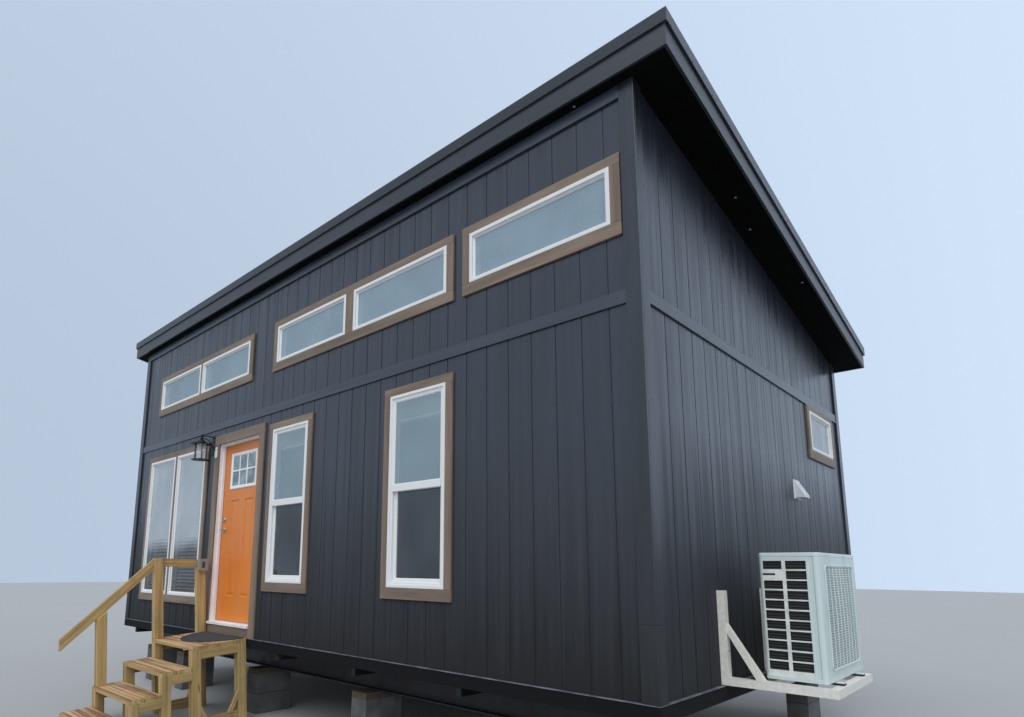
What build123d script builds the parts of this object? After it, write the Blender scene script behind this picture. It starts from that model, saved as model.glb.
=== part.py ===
from build123d import *
import os
from math import cos, radians, sin, tan

os.makedirs("parts", exist_ok=True)

# Tiny house on piers, in millimetres. +Z is up, the door wall faces -Y.
# The ground is z = 0, and the origin is the middle of the footprint on it.
# First the sizes that drive everything else.

# House body
house_length = 7942
house_width = 4552
wall_thickness = 115
siding_thickness = 11
floor_top = 900
floor_sheet = 19
band_bottom = 708
band_top = 800
front_wall_height = 4660
roof_slope = 0.18

# Roof
rake_reach = 285
front_reach = 98
rear_reach = 181
roof_thickness = 215
sheet_thickness = 5
soffit_thickness = 9
board_thickness = 19
fascia_height = 145
fascia_drop = 15
apron_reach = 15
apron_turn = 60

# Stair, in a frame that leans forward with the treads
stair_lean = 4.5
stair_back_level = 808
stair_left_of_door = 541
stair_right_of_door = 464
post_side = 89
plank_width = 138
plank_thickness = 38
landing_depth = 587
tread_spacing = 287
tread_rise = 190
step_count = 3
post_a_top = 850
rail_drop = 0.819
rail_overhang = 21
rail_end_u = -(landing_depth + step_count * tread_spacing + rail_overhang)

# Condenser bracket
arm_reach = 665

# The origin is the middle of the whole footprint
left_reach = rake_reach + apron_reach
right_reach = arm_reach
rail_end_w = post_a_top + rail_drop * (rail_end_u + landing_depth)
front_extent = -rail_end_u * cos(radians(stair_lean)) + rail_end_w * sin(radians(stair_lean))
rear_extent = rear_reach + apron_reach
east = (house_length + left_reach - right_reach) / 2
west = east - house_length
south = (front_extent - house_width - rear_extent) / 2
north = south + house_width


def block(x, y, z, mode=Mode.ADD):
    """Adds a box between two limits on each axis."""
    centre = ((x[0] + x[1]) / 2, (y[0] + y[1]) / 2, (z[0] + z[1]) / 2)
    with Locations(centre):
        Box(x[1] - x[0], y[1] - y[0], z[1] - z[0], mode=mode)


def prism(outline, x, mode=Mode.ADD):
    """Pushes an outline in the YZ plane along X between two limits."""
    with BuildSketch(Plane.YZ.offset(x[0])) as profile:
        Polygon(*outline, align=None)
    extrude(profile.sketch, amount=x[1] - x[0], mode=mode)


def sloped(y, low, high):
    """Outline of a slab whose two faces follow the roof slope."""
    return [
        (y[0], roof_plane(y[0]) + low),
        (y[1], roof_plane(y[1]) + low),
        (y[1], roof_plane(y[1]) + high),
        (y[0], roof_plane(y[0]) + high),
    ]


def roof_plane(y):
    """Height of the underside of the roof slab at a given y."""
    return front_wall_height - roof_slope * (y - south)


# Openings, measured from the right wall face and from the ground
frame_depth = 82
frame_proud = 22
frame_member = 46
casing_side = 75
casing_head = 68
casing_sill = 90

# The middle of each opening is a share of the house length, counted from
# the right wall
clerestory_low = 3699
clerestory_high = 4105
clerestory_width = 1219
far_pair_share = 0.761836
far_pair_gap = 51
near_pair_share = 0.367917
near_pair_gap = 122
last_clerestory_share = 0.098653

tall_low = 1176
tall_high = 2960
tall_width = 813
tall_pair_from_door = 1665
tall_pair_gap = 64

hung_low = 1378
hung_high = tall_high
hung_width = 652
hung_shares = (0.486275, 0.247545)
meeting_low = 2148
meeting_high = 2208

end_window_width = 766
end_window_from_rear = 378
end_window_low = 2703
end_window_high = 3101

door_width = 906
door_share = 0.622639
door_centre = -door_share * house_length
door_gap = 5
door_low = 939
door_high = 2948
door_thickness = 44
door_face = 70
jamb_thickness = 19
stop_width = 12

jamb_left = east + door_centre - door_width / 2 - door_gap
jamb_right = east + door_centre + door_width / 2 + door_gap
jamb_top = door_high + door_gap
opening_left = jamb_left - jamb_thickness
opening_right = jamb_right + jamb_thickness
opening_top = jamb_top + jamb_thickness


def at_share(share):
    """X of the place at a share of the house length from the right wall."""
    return east - share * house_length


def single(middle, width):
    """X limits of one window about its middle."""
    return (middle - width / 2, middle + width / 2)


def pair(middle, width, gap):
    """X limits of two windows side by side, about the middle of their gap."""
    return [(middle - gap / 2 - width, middle - gap / 2), (middle + gap / 2, middle + gap / 2 + width)]


clerestory_spans = (
    pair(at_share(far_pair_share), clerestory_width, far_pair_gap)
    + pair(at_share(near_pair_share), clerestory_width, near_pair_gap)
    + [single(at_share(last_clerestory_share), clerestory_width)]
)
tall_spans = pair(east + door_centre - tall_pair_from_door, tall_width, tall_pair_gap)
hung_spans = [single(at_share(share), hung_width) for share in hung_shares]
end_span = (north - end_window_from_rear - end_window_width, north - end_window_from_rear)

front_openings = (
    [(span, (clerestory_low, clerestory_high)) for span in clerestory_spans]
    + [(span, (tall_low, tall_high)) for span in tall_spans]
    + [(span, (hung_low, hung_high)) for span in hung_spans]
)

inner_south = south + wall_thickness
inner_north = north - wall_thickness
inner_west = west + wall_thickness
inner_east = east - wall_thickness


# Steel frame under the floor: two rails along the house, cross members
# between them and outriggers out to the rim.
rail_height = 250
rail_flange = 102
rail_web = 8
rail_plate = 12
rail_inset = 420
rail_end_inset = 150
rail_top = band_bottom
rail_bottom = rail_top - rail_height
rail_ys = (south + rail_inset, north - rail_inset)

with BuildPart() as main_rails:
    for y in rail_ys:
        half = rail_flange / 2
        inner_x = (west + rail_end_inset, east - rail_end_inset)
        block(inner_x, (y - half, y + half), (rail_bottom, rail_bottom + rail_plate))
        block(inner_x, (y - half, y + half), (rail_top - rail_plate, rail_top))
        block(inner_x, (y - rail_web / 2, y + rail_web / 2), (rail_bottom, rail_top))
main_rails.part.label = "main_rails"
export_step(main_rails.part, "parts/main_rails.step")

member_count = 7
member_height = 100
member_width = 50
member_inset = 300
member_top = rail_top - rail_plate
outrigger_height = 60
outrigger_gap = 30
with BuildPart() as cross_members:
    span = house_length - 2 * member_inset
    for index in range(member_count):
        x = west + member_inset + span * index / (member_count - 1)
        inner_y = (rail_ys[0] + rail_web / 2, rail_ys[1] - rail_web / 2)
        block((x - member_width / 2, x + member_width / 2), inner_y,
              (member_top - member_height, member_top))
        for side, rail_y in ((-1, rail_ys[0]), (1, rail_ys[1])):
            near = rail_y + side * rail_web / 2
            far = rail_y + side * (rail_inset - outrigger_gap)
            block((x - member_width / 2, x + member_width / 2),
                  (min(near, far), max(near, far)),
                  (member_top - outrigger_height, member_top))
cross_members.part.label = "cross_members"
export_step(cross_members.part, "parts/cross_members.step")

# Block piers under both rails, each with a wooden cap
pier_shares = (0.951901, 0.829766, 0.597457, 0.365147, 0.056661)
pier_length = 203
pier_depth = 406
pier_cap = 52
with BuildPart() as block_piers:
    for share in pier_shares:
        x = at_share(share)
        for y in rail_ys:
            block((x - pier_length / 2, x + pier_length / 2),
                  (y - pier_depth / 2, y + pier_depth / 2), (0, rail_bottom - pier_cap))
block_piers.part.label = "block_piers"
export_step(block_piers.part, "parts/block_piers.step")

with BuildPart() as pier_caps:
    for share in pier_shares:
        x = at_share(share)
        for y in rail_ys:
            block((x - pier_length / 2, x + pier_length / 2),
                  (y - pier_depth / 2, y + pier_depth / 2), (rail_bottom - pier_cap, rail_bottom))
pier_caps.part.label = "pier_caps"
export_step(pier_caps.part, "parts/pier_caps.step")

# Floor: two rim boards with joists between them, and a sheet on top
joist_thickness = 38
joist_bottom = band_bottom
joist_top = floor_top - floor_sheet
rim_x = (west + siding_thickness, east - siding_thickness)
rim_y = (south + siding_thickness, north - siding_thickness)
joist_y = (rim_y[0] + joist_thickness, rim_y[1] - joist_thickness)
bay_count = 18
with BuildPart() as floor_rim:
    block(rim_x, (rim_y[0], joist_y[0]), (joist_bottom, joist_top))
    block(rim_x, (joist_y[1], rim_y[1]), (joist_bottom, joist_top))
floor_rim.part.label = "floor_rim"
export_step(floor_rim.part, "parts/floor_rim.step")

with BuildPart() as floor_joists:
    bay = (rim_x[1] - rim_x[0] - joist_thickness) / bay_count
    for index in range(bay_count + 1):
        start = rim_x[0] + bay * index
        block((start, start + joist_thickness), joist_y, (joist_bottom, joist_top))
floor_joists.part.label = "floor_joists"
export_step(floor_joists.part, "parts/floor_joists.step")

with BuildPart() as floor_deck:
    block(rim_x, rim_y, (joist_top, floor_top))
floor_deck.part.label = "floor_deck"
export_step(floor_deck.part, "parts/floor_deck.step")


def wall_run(x, openings):
    """Front wall between two x limits: the frame on the floor, the siding
    skin down over the rim, then the window openings cut through."""
    top_front = roof_plane(south)
    top_back = roof_plane(inner_south)
    outline = [
        (south, band_bottom),
        (south + siding_thickness, band_bottom),
        (south + siding_thickness, floor_top),
        (inner_south, floor_top),
        (inner_south, top_back),
        (south, top_front),
    ]
    prism(outline, x)
    cut_openings(x, openings)


def cut_openings(x, openings):
    """Cuts the window openings that cross a run of the front wall."""
    for span_x, span_z in openings:
        if span_x[1] > x[0] and span_x[0] < x[1]:
            block(span_x, (south - 1, inner_south + 1), span_z, Mode.SUBTRACT)


# Front wall in three: left of the door, right of it and over it. One
# clerestory window crosses the split, so both pieces are cut for it.
with BuildPart() as front_wall_left:
    wall_run((west, opening_left), front_openings)
front_wall_left.part.label = "front_wall_left"
export_step(front_wall_left.part, "parts/front_wall_left.step")

with BuildPart() as front_wall_right:
    wall_run((opening_right, east), front_openings)
front_wall_right.part.label = "front_wall_right"
export_step(front_wall_right.part, "parts/front_wall_right.step")

with BuildPart() as front_wall_over:
    outline = [
        (south, opening_top),
        (inner_south, opening_top),
        (inner_south, roof_plane(inner_south)),
        (south, roof_plane(south)),
    ]
    prism(outline, (opening_left, opening_right))
    cut_openings((opening_left, opening_right), front_openings)
front_wall_over.part.label = "front_wall_over"
export_step(front_wall_over.part, "parts/front_wall_over.step")


def end_outline(y0, y1, low):
    """Outline of an end wall between two y limits, up to the roof slab."""
    return [(y0, low), (y1, low), (y1, roof_plane(y1)), (y0, roof_plane(y0))]


# End walls stand between the front and rear walls
with BuildPart() as right_wall:
    prism(end_outline(inner_south, inner_north, floor_top), (inner_east, east))
    block((east - siding_thickness, east), rim_y, (band_bottom, floor_top))
    block((inner_east - 1, east + 1), end_span, (end_window_low, end_window_high), Mode.SUBTRACT)
right_wall.part.label = "right_wall"
export_step(right_wall.part, "parts/right_wall.step")

with BuildPart() as left_wall:
    prism(end_outline(inner_south, inner_north, floor_top), (west, inner_west))
    block((west, west + siding_thickness), rim_y, (band_bottom, floor_top))
left_wall.part.label = "left_wall"
export_step(left_wall.part, "parts/left_wall.step")

with BuildPart() as rear_wall:
    outline = [
        (north, band_bottom),
        (north - siding_thickness, band_bottom),
        (north - siding_thickness, floor_top),
        (inner_north, floor_top),
        (inner_north, roof_plane(inner_north)),
        (north, roof_plane(north)),
    ]
    prism(outline, (west, east))
rear_wall.part.label = "rear_wall"
export_step(rear_wall.part, "parts/rear_wall.step")

# Roof slab, soffit and covering
eave_front = south - front_reach
eave_rear = north + rear_reach
rake_west = west - rake_reach
rake_east = east + rake_reach
slab_x = (rake_west + board_thickness, rake_east - board_thickness)
slab_y = (eave_front + board_thickness, eave_rear - board_thickness)
with BuildPart() as roof_deck:
    prism(sloped(slab_y, 0, roof_thickness), slab_x)
roof_deck.part.label = "roof_deck"
export_step(roof_deck.part, "parts/roof_deck.step")

with BuildPart() as soffit:
    prism(sloped(slab_y, -soffit_thickness, 0), slab_x)
    block((west, east), (south, north), (0, 2 * front_wall_height), Mode.SUBTRACT)
soffit.part.label = "soffit"
export_step(soffit.part, "parts/soffit.step")

with BuildPart() as roof_covering:
    cover_y = (slab_y[0] + apron_turn, slab_y[1] - apron_turn)
    cover_x = (slab_x[0] + apron_turn, slab_x[1] - apron_turn)
    prism(sloped(cover_y, roof_thickness, roof_thickness + sheet_thickness), cover_x)
roof_covering.part.label = "roof_covering"
export_step(roof_covering.part, "parts/roof_covering.step")

# Lower fascia boards: level ones front and rear, raked ones at the ends
front_low = roof_plane(eave_front) - fascia_drop
rear_low = roof_plane(eave_rear) - fascia_drop
with BuildPart() as fascia_boards:
    block(slab_x, (eave_front, slab_y[0]), (front_low, front_low + fascia_height))
    block(slab_x, (slab_y[1], eave_rear), (rear_low, rear_low + fascia_height))
fascia_boards.part.label = "fascia_boards"
export_step(fascia_boards.part, "parts/fascia_boards.step")

rake_outline = sloped((eave_front, eave_rear), -fascia_drop, fascia_height - fascia_drop)
with BuildPart() as rake_boards:
    prism(rake_outline, (slab_x[1], rake_east))
    prism(rake_outline, (rake_west, slab_x[0]))
rake_boards.part.label = "rake_boards"
export_step(rake_boards.part, "parts/rake_boards.step")

# Metal edge apron: a ring above the fascia boards that turns in over
# the slab
apron_low = fascia_height - fascia_drop
apron_high = roof_thickness + sheet_thickness
with BuildPart() as edge_apron:
    outer_y = (eave_front - apron_reach, eave_rear + apron_reach)
    outer_x = (rake_west - apron_reach, rake_east + apron_reach)
    prism(sloped(outer_y, apron_low, apron_high), outer_x)
    prism(sloped(slab_y, 0, roof_thickness), slab_x, Mode.SUBTRACT)
    prism(sloped(cover_y, 0, apron_high + 1), cover_x, Mode.SUBTRACT)
    for y, low in (((outer_y[0], slab_y[0]), front_low), ((slab_y[1], outer_y[1]), rear_low)):
        block(outer_x, y, (low - fascia_height, low + fascia_height), Mode.SUBTRACT)
edge_apron.part.label = "edge_apron"
export_step(edge_apron.part, "parts/edge_apron.step")

# Trim on the walls
trim_thickness = 19
belt_thickness = 14
belt_low = 3149
belt_high = 3238
corner_width = 89
frieze_low = 4556
flashing_height = 4
flashing_reach = 23


def corner_top(y):
    """Top of a corner board under the soffit at a given y."""
    return roof_plane(y) - soffit_thickness


with BuildPart() as corner_boards:
    for x_face, x_side in ((east, 1), (west, -1)):
        x_out = x_face + x_side * trim_thickness
        x_in = x_face - x_side * corner_width
        low = band_top + flashing_height
        front = [(south - trim_thickness, low), (south, low),
                 (south, corner_top(south)), (south - trim_thickness, corner_top(south - trim_thickness))]
        prism(front, (min(x_out, x_in), max(x_out, x_in)))
        y_in = south + corner_width
        side = [(south, low), (y_in, low), (y_in, corner_top(y_in)), (south, corner_top(south))]
        prism(side, (min(x_out, x_face), max(x_out, x_face)))
        rear = [(north, low), (north + trim_thickness, low),
                (north + trim_thickness, corner_top(north + trim_thickness)), (north, corner_top(north))]
        prism(rear, (min(x_out, x_in), max(x_out, x_in)))
        y_in = north - corner_width
        side = [(y_in, low), (north, low), (north, corner_top(north)), (y_in, corner_top(y_in))]
        prism(side, (min(x_out, x_face), max(x_out, x_face)))
corner_boards.part.label = "corner_boards"
export_step(corner_boards.part, "parts/corner_boards.step")

run_x = (west + corner_width, east - corner_width)
run_y = (south + corner_width, north - corner_width)
with BuildPart() as wall_boards:
    block(run_x, (south - belt_thickness, south), (belt_low, belt_high))
    block(run_x, (north, north + belt_thickness), (belt_low, belt_high))
    block((east, east + belt_thickness), run_y, (belt_low, belt_high))
    block((west - belt_thickness, west), run_y, (belt_low, belt_high))
    outline = [(south - trim_thickness, frieze_low), (south, frieze_low),
               (south, corner_top(south)), (south - trim_thickness, corner_top(south - trim_thickness))]
    prism(outline, run_x)
    drop = roof_plane(south) - frieze_low
    low = roof_plane(north) - drop
    outline = [(north, low), (north + trim_thickness, low),
               (north + trim_thickness, corner_top(north + trim_thickness)), (north, corner_top(north))]
    prism(outline, run_x)
wall_boards.part.label = "wall_boards"
export_step(wall_boards.part, "parts/wall_boards.step")

with BuildPart() as bottom_band:
    outer_x = (west - trim_thickness, east + trim_thickness)
    outer_y = (south - trim_thickness, north + trim_thickness)
    block(outer_x, outer_y, (band_bottom, band_top))
    block((west, east), (south, north), (band_bottom - 1, band_top + 1), Mode.SUBTRACT)
bottom_band.part.label = "bottom_band"
export_step(bottom_band.part, "parts/bottom_band.step")

with BuildPart() as band_flashing:
    outer_x = (west - flashing_reach, east + flashing_reach)
    outer_y = (south - flashing_reach, north + flashing_reach)
    block(outer_x, outer_y, (band_top, band_top + flashing_height))
    block((west, east), (south, north), (band_bottom, 2 * band_top), Mode.SUBTRACT)
band_flashing.part.label = "band_flashing"
export_step(band_flashing.part, "parts/band_flashing.step")

# Window frames stand a little proud of the casings
frame_y = (south - frame_proud, south - frame_proud + frame_depth)
pane_thickness = 6
pane_depth = 26
pane_y = (frame_y[0] + pane_depth, frame_y[0] + pane_depth + pane_thickness)


def ring(x, y, z, member):
    """Adds a rectangular frame of one member width in the XZ plane."""
    block(x, y, z)
    block((x[0] + member, x[1] - member), (y[0] - 1, y[1] + 1),
          (z[0] + member, z[1] - member), Mode.SUBTRACT)


end_frame_x = (east + frame_proud - frame_depth, east + frame_proud)
with BuildPart() as fixed_frames:
    for span_x in clerestory_spans:
        ring(span_x, frame_y, (clerestory_low, clerestory_high), frame_member)
    for span_x in tall_spans:
        ring(span_x, frame_y, (tall_low, tall_high), frame_member)
    block(end_frame_x, end_span, (end_window_low, end_window_high))
    block((end_frame_x[0] - 1, end_frame_x[1] + 1),
          (end_span[0] + frame_member, end_span[1] - frame_member),
          (end_window_low + frame_member, end_window_high - frame_member), Mode.SUBTRACT)
fixed_frames.part.label = "fixed_frames"
export_step(fixed_frames.part, "parts/fixed_frames.step")


def pane(x, y, z, member):
    """Adds the glass that fills a frame of one member width."""
    block((x[0] + member, x[1] - member), y, (z[0] + member, z[1] - member))


with BuildPart() as fixed_glass:
    for span_x in clerestory_spans:
        pane(span_x, pane_y, (clerestory_low, clerestory_high), frame_member)
    for span_x in tall_spans:
        pane(span_x, pane_y, (tall_low, tall_high), frame_member)
    block((end_frame_x[1] - pane_depth - pane_thickness, end_frame_x[1] - pane_depth),
          (end_span[0] + frame_member, end_span[1] - frame_member),
          (end_window_low + frame_member, end_window_high - frame_member))
fixed_glass.part.label = "fixed_glass"
export_step(fixed_glass.part, "parts/fixed_glass.step")

# Hung windows: the outer frame with a meeting rail, and a lower sash set back
sash_member = 30
sash_depth = 34
sash_thickness = 24
sash_pane_depth = 9
meeting_depth = 4
upper_pane_depth = 18
sash_y = (frame_y[0] + sash_depth, frame_y[0] + sash_depth + sash_thickness)
sash_pane_y = (sash_y[0] + sash_pane_depth, sash_y[0] + sash_pane_depth + pane_thickness)
upper_pane_y = (frame_y[0] + upper_pane_depth, frame_y[0] + upper_pane_depth + pane_thickness)
with BuildPart() as hung_frames:
    for span_x in hung_spans:
        ring(span_x, frame_y, (hung_low, hung_high), frame_member)
        block((span_x[0] + frame_member, span_x[1] - frame_member),
              (frame_y[0] + meeting_depth, sash_y[0]), (meeting_low, meeting_high))
hung_frames.part.label = "hung_frames"
export_step(hung_frames.part, "parts/hung_frames.step")

with BuildPart() as hung_sashes:
    for span_x in hung_spans:
        ring((span_x[0] + frame_member, span_x[1] - frame_member), sash_y,
             (hung_low + frame_member, meeting_low + sash_member), sash_member)
hung_sashes.part.label = "hung_sashes"
export_step(hung_sashes.part, "parts/hung_sashes.step")

with BuildPart() as hung_glass:
    for span_x in hung_spans:
        inner = (span_x[0] + frame_member, span_x[1] - frame_member)
        block(inner, upper_pane_y, (meeting_high, hung_high - frame_member))
        pane(inner, sash_pane_y, (hung_low + frame_member, meeting_low + sash_member), sash_member)
hung_glass.part.label = "hung_glass"
export_step(hung_glass.part, "parts/hung_glass.step")

# Blinds in the openings behind the frames: let down in the tall windows,
# drawn up to a stack in the hung ones
blind_y = (frame_y[1], inner_south - 5)
blind_head = 55
blind_rail = 18
blind_sheet = 4
blind_clear = 12
blind_stack = 215
with BuildPart() as window_blinds:
    blind_middle = (blind_y[0] + blind_y[1]) / 2
    for span_x in tall_spans:
        inner = (span_x[0] + blind_clear, span_x[1] - blind_clear)
        block(span_x, blind_y, (tall_high - blind_head, tall_high))
        block(inner, (blind_middle - blind_sheet / 2, blind_middle + blind_sheet / 2),
              (tall_low + blind_clear, tall_high - blind_head))
        block(inner, blind_y, (tall_low + blind_clear, tall_low + blind_clear + blind_rail))
    for span_x in hung_spans:
        block(span_x, blind_y, (hung_high - blind_head, hung_high))
        block((span_x[0] + blind_clear, span_x[1] - blind_clear), blind_y,
              (hung_high - blind_stack, hung_high - blind_head))
window_blinds.part.label = "window_blinds"
export_step(window_blinds.part, "parts/window_blinds.step")

# Flat casings round the windows
casing_y = (south - trim_thickness, south)


def casing(groups, z, head=casing_head, sill=casing_sill):
    """Adds a casing round windows that stand side by side, with a board
    between them."""
    x = (groups[0][0], groups[-1][1])
    block((x[0] - casing_side, x[1] + casing_side), casing_y, (z[0] - sill, z[1] + head))
    for span_x in groups:
        block(span_x, (casing_y[0] - 1, casing_y[1] + 1), z, Mode.SUBTRACT)


with BuildPart() as window_casings:
    z = (clerestory_low, clerestory_high)
    casing(clerestory_spans[0:2], z)
    casing(clerestory_spans[2:4], z)
    casing(clerestory_spans[4:5], z)
    casing(tall_spans, (tall_low, tall_high))
    casing(hung_spans[0:1], (hung_low, hung_high))
    casing(hung_spans[1:2], (hung_low, hung_high))
    block((east, east + trim_thickness),
          (end_span[0] - casing_side, end_span[1] + casing_side),
          (end_window_low - casing_sill, belt_low))
    block((east - 1, east + trim_thickness + 1), end_span,
          (end_window_low, end_window_high), Mode.SUBTRACT)
window_casings.part.label = "window_casings"
export_step(window_casings.part, "parts/window_casings.step")

# Door casing, frame, sill and the board under the sill
door_casing_width = 112
casing_reveal = 5
sill_top = door_low - door_gap
sill_lip = 8
with BuildPart() as door_casing:
    inner_x = (jamb_left - casing_reveal, jamb_right + casing_reveal)
    door_outer_x = (inner_x[0] - door_casing_width, inner_x[1] + door_casing_width)
    head = jamb_top + casing_reveal
    block(door_outer_x, casing_y, (band_top + flashing_height, head + door_casing_width))
    block(inner_x, (casing_y[0] - 1, casing_y[1] + 1), (band_top, head), Mode.SUBTRACT)
door_casing.part.label = "door_casing"
export_step(door_casing.part, "parts/door_casing.step")

jamb_y = (south, inner_south)
stop_gap = 5
stop_depth = 28
stop_y = (south + door_face - stop_gap - stop_depth, south + door_face - stop_gap)
sill_reach = 34
sill_step = 10
with BuildPart() as door_frame:
    block((opening_left, opening_right), jamb_y, (floor_top, opening_top))
    block((jamb_left, jamb_right), (south - 1, inner_south + 1), (floor_top - 1, jamb_top), Mode.SUBTRACT)
    block((jamb_left, jamb_left + stop_width), stop_y, (sill_top - sill_lip, jamb_top))
    block((jamb_right - stop_width, jamb_right), stop_y, (sill_top - sill_lip, jamb_top))
    block((jamb_left, jamb_right), stop_y, (jamb_top - stop_width, jamb_top))
door_frame.part.label = "door_frame"
export_step(door_frame.part, "parts/door_frame.step")

with BuildPart() as door_sill:
    block((jamb_left, jamb_right), (south - sill_reach, inner_south), (floor_top, sill_top - sill_lip))
    block((jamb_left + stop_width, jamb_right - stop_width), (south - sill_step, inner_south),
          (sill_top - sill_lip, sill_top))
door_sill.part.label = "door_sill"
export_step(door_sill.part, "parts/door_sill.step")

with BuildPart() as sill_board:
    block(inner_x, (south - trim_thickness, south), (band_top + flashing_height, floor_top))
    block((opening_left, opening_right), (south, south + siding_thickness), (band_bottom, floor_top))
sill_board.part.label = "sill_board"
export_step(sill_board.part, "parts/sill_board.step")

# Door slab: three lites across and two down, and two tall sunk panels
slab_left = jamb_left + door_gap
slab_right = jamb_right - door_gap
slab_y0 = south + door_face
slab_y1 = slab_y0 + door_thickness
lite_width = 590
lite_height = 420
lite_top_gap = 112
lite_z = (door_high - lite_top_gap - lite_height, door_high - lite_top_gap)
lite_x = (east + door_centre - lite_width / 2, east + door_centre + lite_width / 2)
panel_width = 190
panel_offset = 161
panel_z = (1208, 2288)
panel_sink = 7
lite_cut = 18
lite_glass = 20
lever_x = slab_left + 66
lever_z = 1953
bolt_z = 2070
spindle_bore = 7
with BuildPart() as door_slab:
    block((slab_left, slab_right), (slab_y0, slab_y1), (door_low, door_high))
    block((lite_x[0] + lite_cut, lite_x[1] - lite_cut), (slab_y0 - 1, slab_y1 + 1),
          (lite_z[0] + lite_cut, lite_z[1] - lite_cut), Mode.SUBTRACT)
    for side in (-1, 1):
        middle = east + door_centre + side * panel_offset
        sides = (middle - panel_width / 2, middle + panel_width / 2)
        block(sides, (slab_y0 - 1, slab_y0 + panel_sink), panel_z, Mode.SUBTRACT)
        block(sides, (slab_y1 - panel_sink, slab_y1 + 1), panel_z, Mode.SUBTRACT)
    with Locations(Location((lever_x, (slab_y0 + slab_y1) / 2, lever_z), (90, 0, 0))):
        Cylinder(spindle_bore, door_thickness + 2, mode=Mode.SUBTRACT)
door_slab.part.label = "door_slab"
export_step(door_slab.part, "parts/door_slab.step")

lite_member = 38
bar_width = 20
lite_proud = 9
with BuildPart() as door_lite_frame:
    for y in ((slab_y0 - lite_proud, slab_y0), (slab_y1, slab_y1 + lite_proud)):
        ring(lite_x, y, lite_z, lite_member)
        inner = (lite_x[0] + lite_member, lite_x[1] - lite_member)
        third = (inner[1] - inner[0]) / 3
        for index in (1, 2):
            x = inner[0] + third * index
            block((x - bar_width / 2, x + bar_width / 2), y,
                  (lite_z[0] + lite_member, lite_z[1] - lite_member))
        z = (lite_z[0] + lite_z[1]) / 2
        block(inner, y, (z - bar_width / 2, z + bar_width / 2))
door_lite_frame.part.label = "door_lite_frame"
export_step(door_lite_frame.part, "parts/door_lite_frame.step")

with BuildPart() as door_glass:
    block((lite_x[0] + lite_cut, lite_x[1] - lite_cut), (slab_y0, slab_y0 + lite_glass),
          (lite_z[0] + lite_cut, lite_z[1] - lite_cut))
door_glass.part.label = "door_glass"
export_step(door_glass.part, "parts/door_glass.step")

# Lock: roses and bolt cylinder on the slab, and the turning lever
rose_radius = 32
rose_thickness = 8
bolt_radius = 30
bolt_outer = 18
bolt_inner = 10
turn_reach = 18
turn_half_width = 4
turn_half_height = 18
with BuildPart() as door_lock:
    for y in (slab_y0 - rose_thickness / 2, slab_y1 + rose_thickness / 2):
        with Locations(Location((lever_x, y, lever_z), (90, 0, 0))):
            Cylinder(rose_radius, rose_thickness)
            Cylinder(spindle_bore, rose_thickness, mode=Mode.SUBTRACT)
    with Locations(Location((lever_x, slab_y0 - bolt_outer / 2, bolt_z), (90, 0, 0))):
        Cylinder(bolt_radius, bolt_outer)
    with Locations(Location((lever_x, slab_y1 + bolt_inner / 2, bolt_z), (90, 0, 0))):
        Cylinder(bolt_radius, bolt_inner)
    block((lever_x - turn_half_width, lever_x + turn_half_width),
          (slab_y1 + bolt_inner, slab_y1 + bolt_inner + turn_reach),
          (bolt_z - turn_half_height, bolt_z + turn_half_height))
door_lock.part.label = "door_lock"
export_step(door_lock.part, "parts/door_lock.step")

spindle_radius = 6
lever_hub = 11
lever_stand = 42
lever_length = 112
lever_height = 20
lever_depth = 14
hub_gap = 1
with BuildPart() as door_lever:
    middle_y = (slab_y0 + slab_y1) / 2
    reach = door_thickness / 2 + rose_thickness + lever_stand
    with Locations(Location((lever_x, middle_y, lever_z), (90, 0, 0))):
        Cylinder(spindle_radius, 2 * reach)
    for side in (-1, 1):
        face = middle_y + side * (door_thickness / 2 + rose_thickness + hub_gap)
        tip = middle_y + side * reach
        with Locations(Location((lever_x, (face + tip) / 2, lever_z), (90, 0, 0))):
            Cylinder(lever_hub, abs(tip - face))
        bar = (min(tip, tip - side * lever_depth), max(tip, tip - side * lever_depth))
        block((lever_x, lever_x + lever_length), bar,
              (lever_z - lever_height / 2, lever_z + lever_height / 2))
door_lever.part.label = "door_lever"
export_step(door_lever.part, "parts/door_lever.step")

# Three hinges on the right jamb, pins just inside the room
pin_x = jamb_right - door_gap / 2
pin_y = slab_y1 + 8
pin_radius = 3.5
knuckle_radius = 6
knuckle_bore = 4
leaf_thickness = 2
hinge_height = 100
knuckle_gap = 1
leaf_start = 8
cut_gap = 1.5
hinge_from_low = 250
hinge_from_high = 230
hinge_zs = (door_low + hinge_from_low, (door_low + door_high) / 2, door_high - hinge_from_high)
third = hinge_height / 3
with BuildPart() as hinge_jamb_leaves:
    for z in hinge_zs:
        with Locations((pin_x, pin_y, z)):
            Cylinder(pin_radius, hinge_height)
        for side in (-1, 1):
            with Locations((pin_x, pin_y, z + side * third)):
                Cylinder(knuckle_radius, third)
        block((jamb_right - leaf_thickness, jamb_right), (slab_y0 + leaf_start, pin_y),
              (z - hinge_height / 2, z + hinge_height / 2))
        with Locations((pin_x, pin_y, z)):
            Cylinder(knuckle_radius + cut_gap, third, mode=Mode.SUBTRACT)
            Cylinder(pin_radius, third)
hinge_jamb_leaves.part.label = "hinge_jamb_leaves"
export_step(hinge_jamb_leaves.part, "parts/hinge_jamb_leaves.step")

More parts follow.
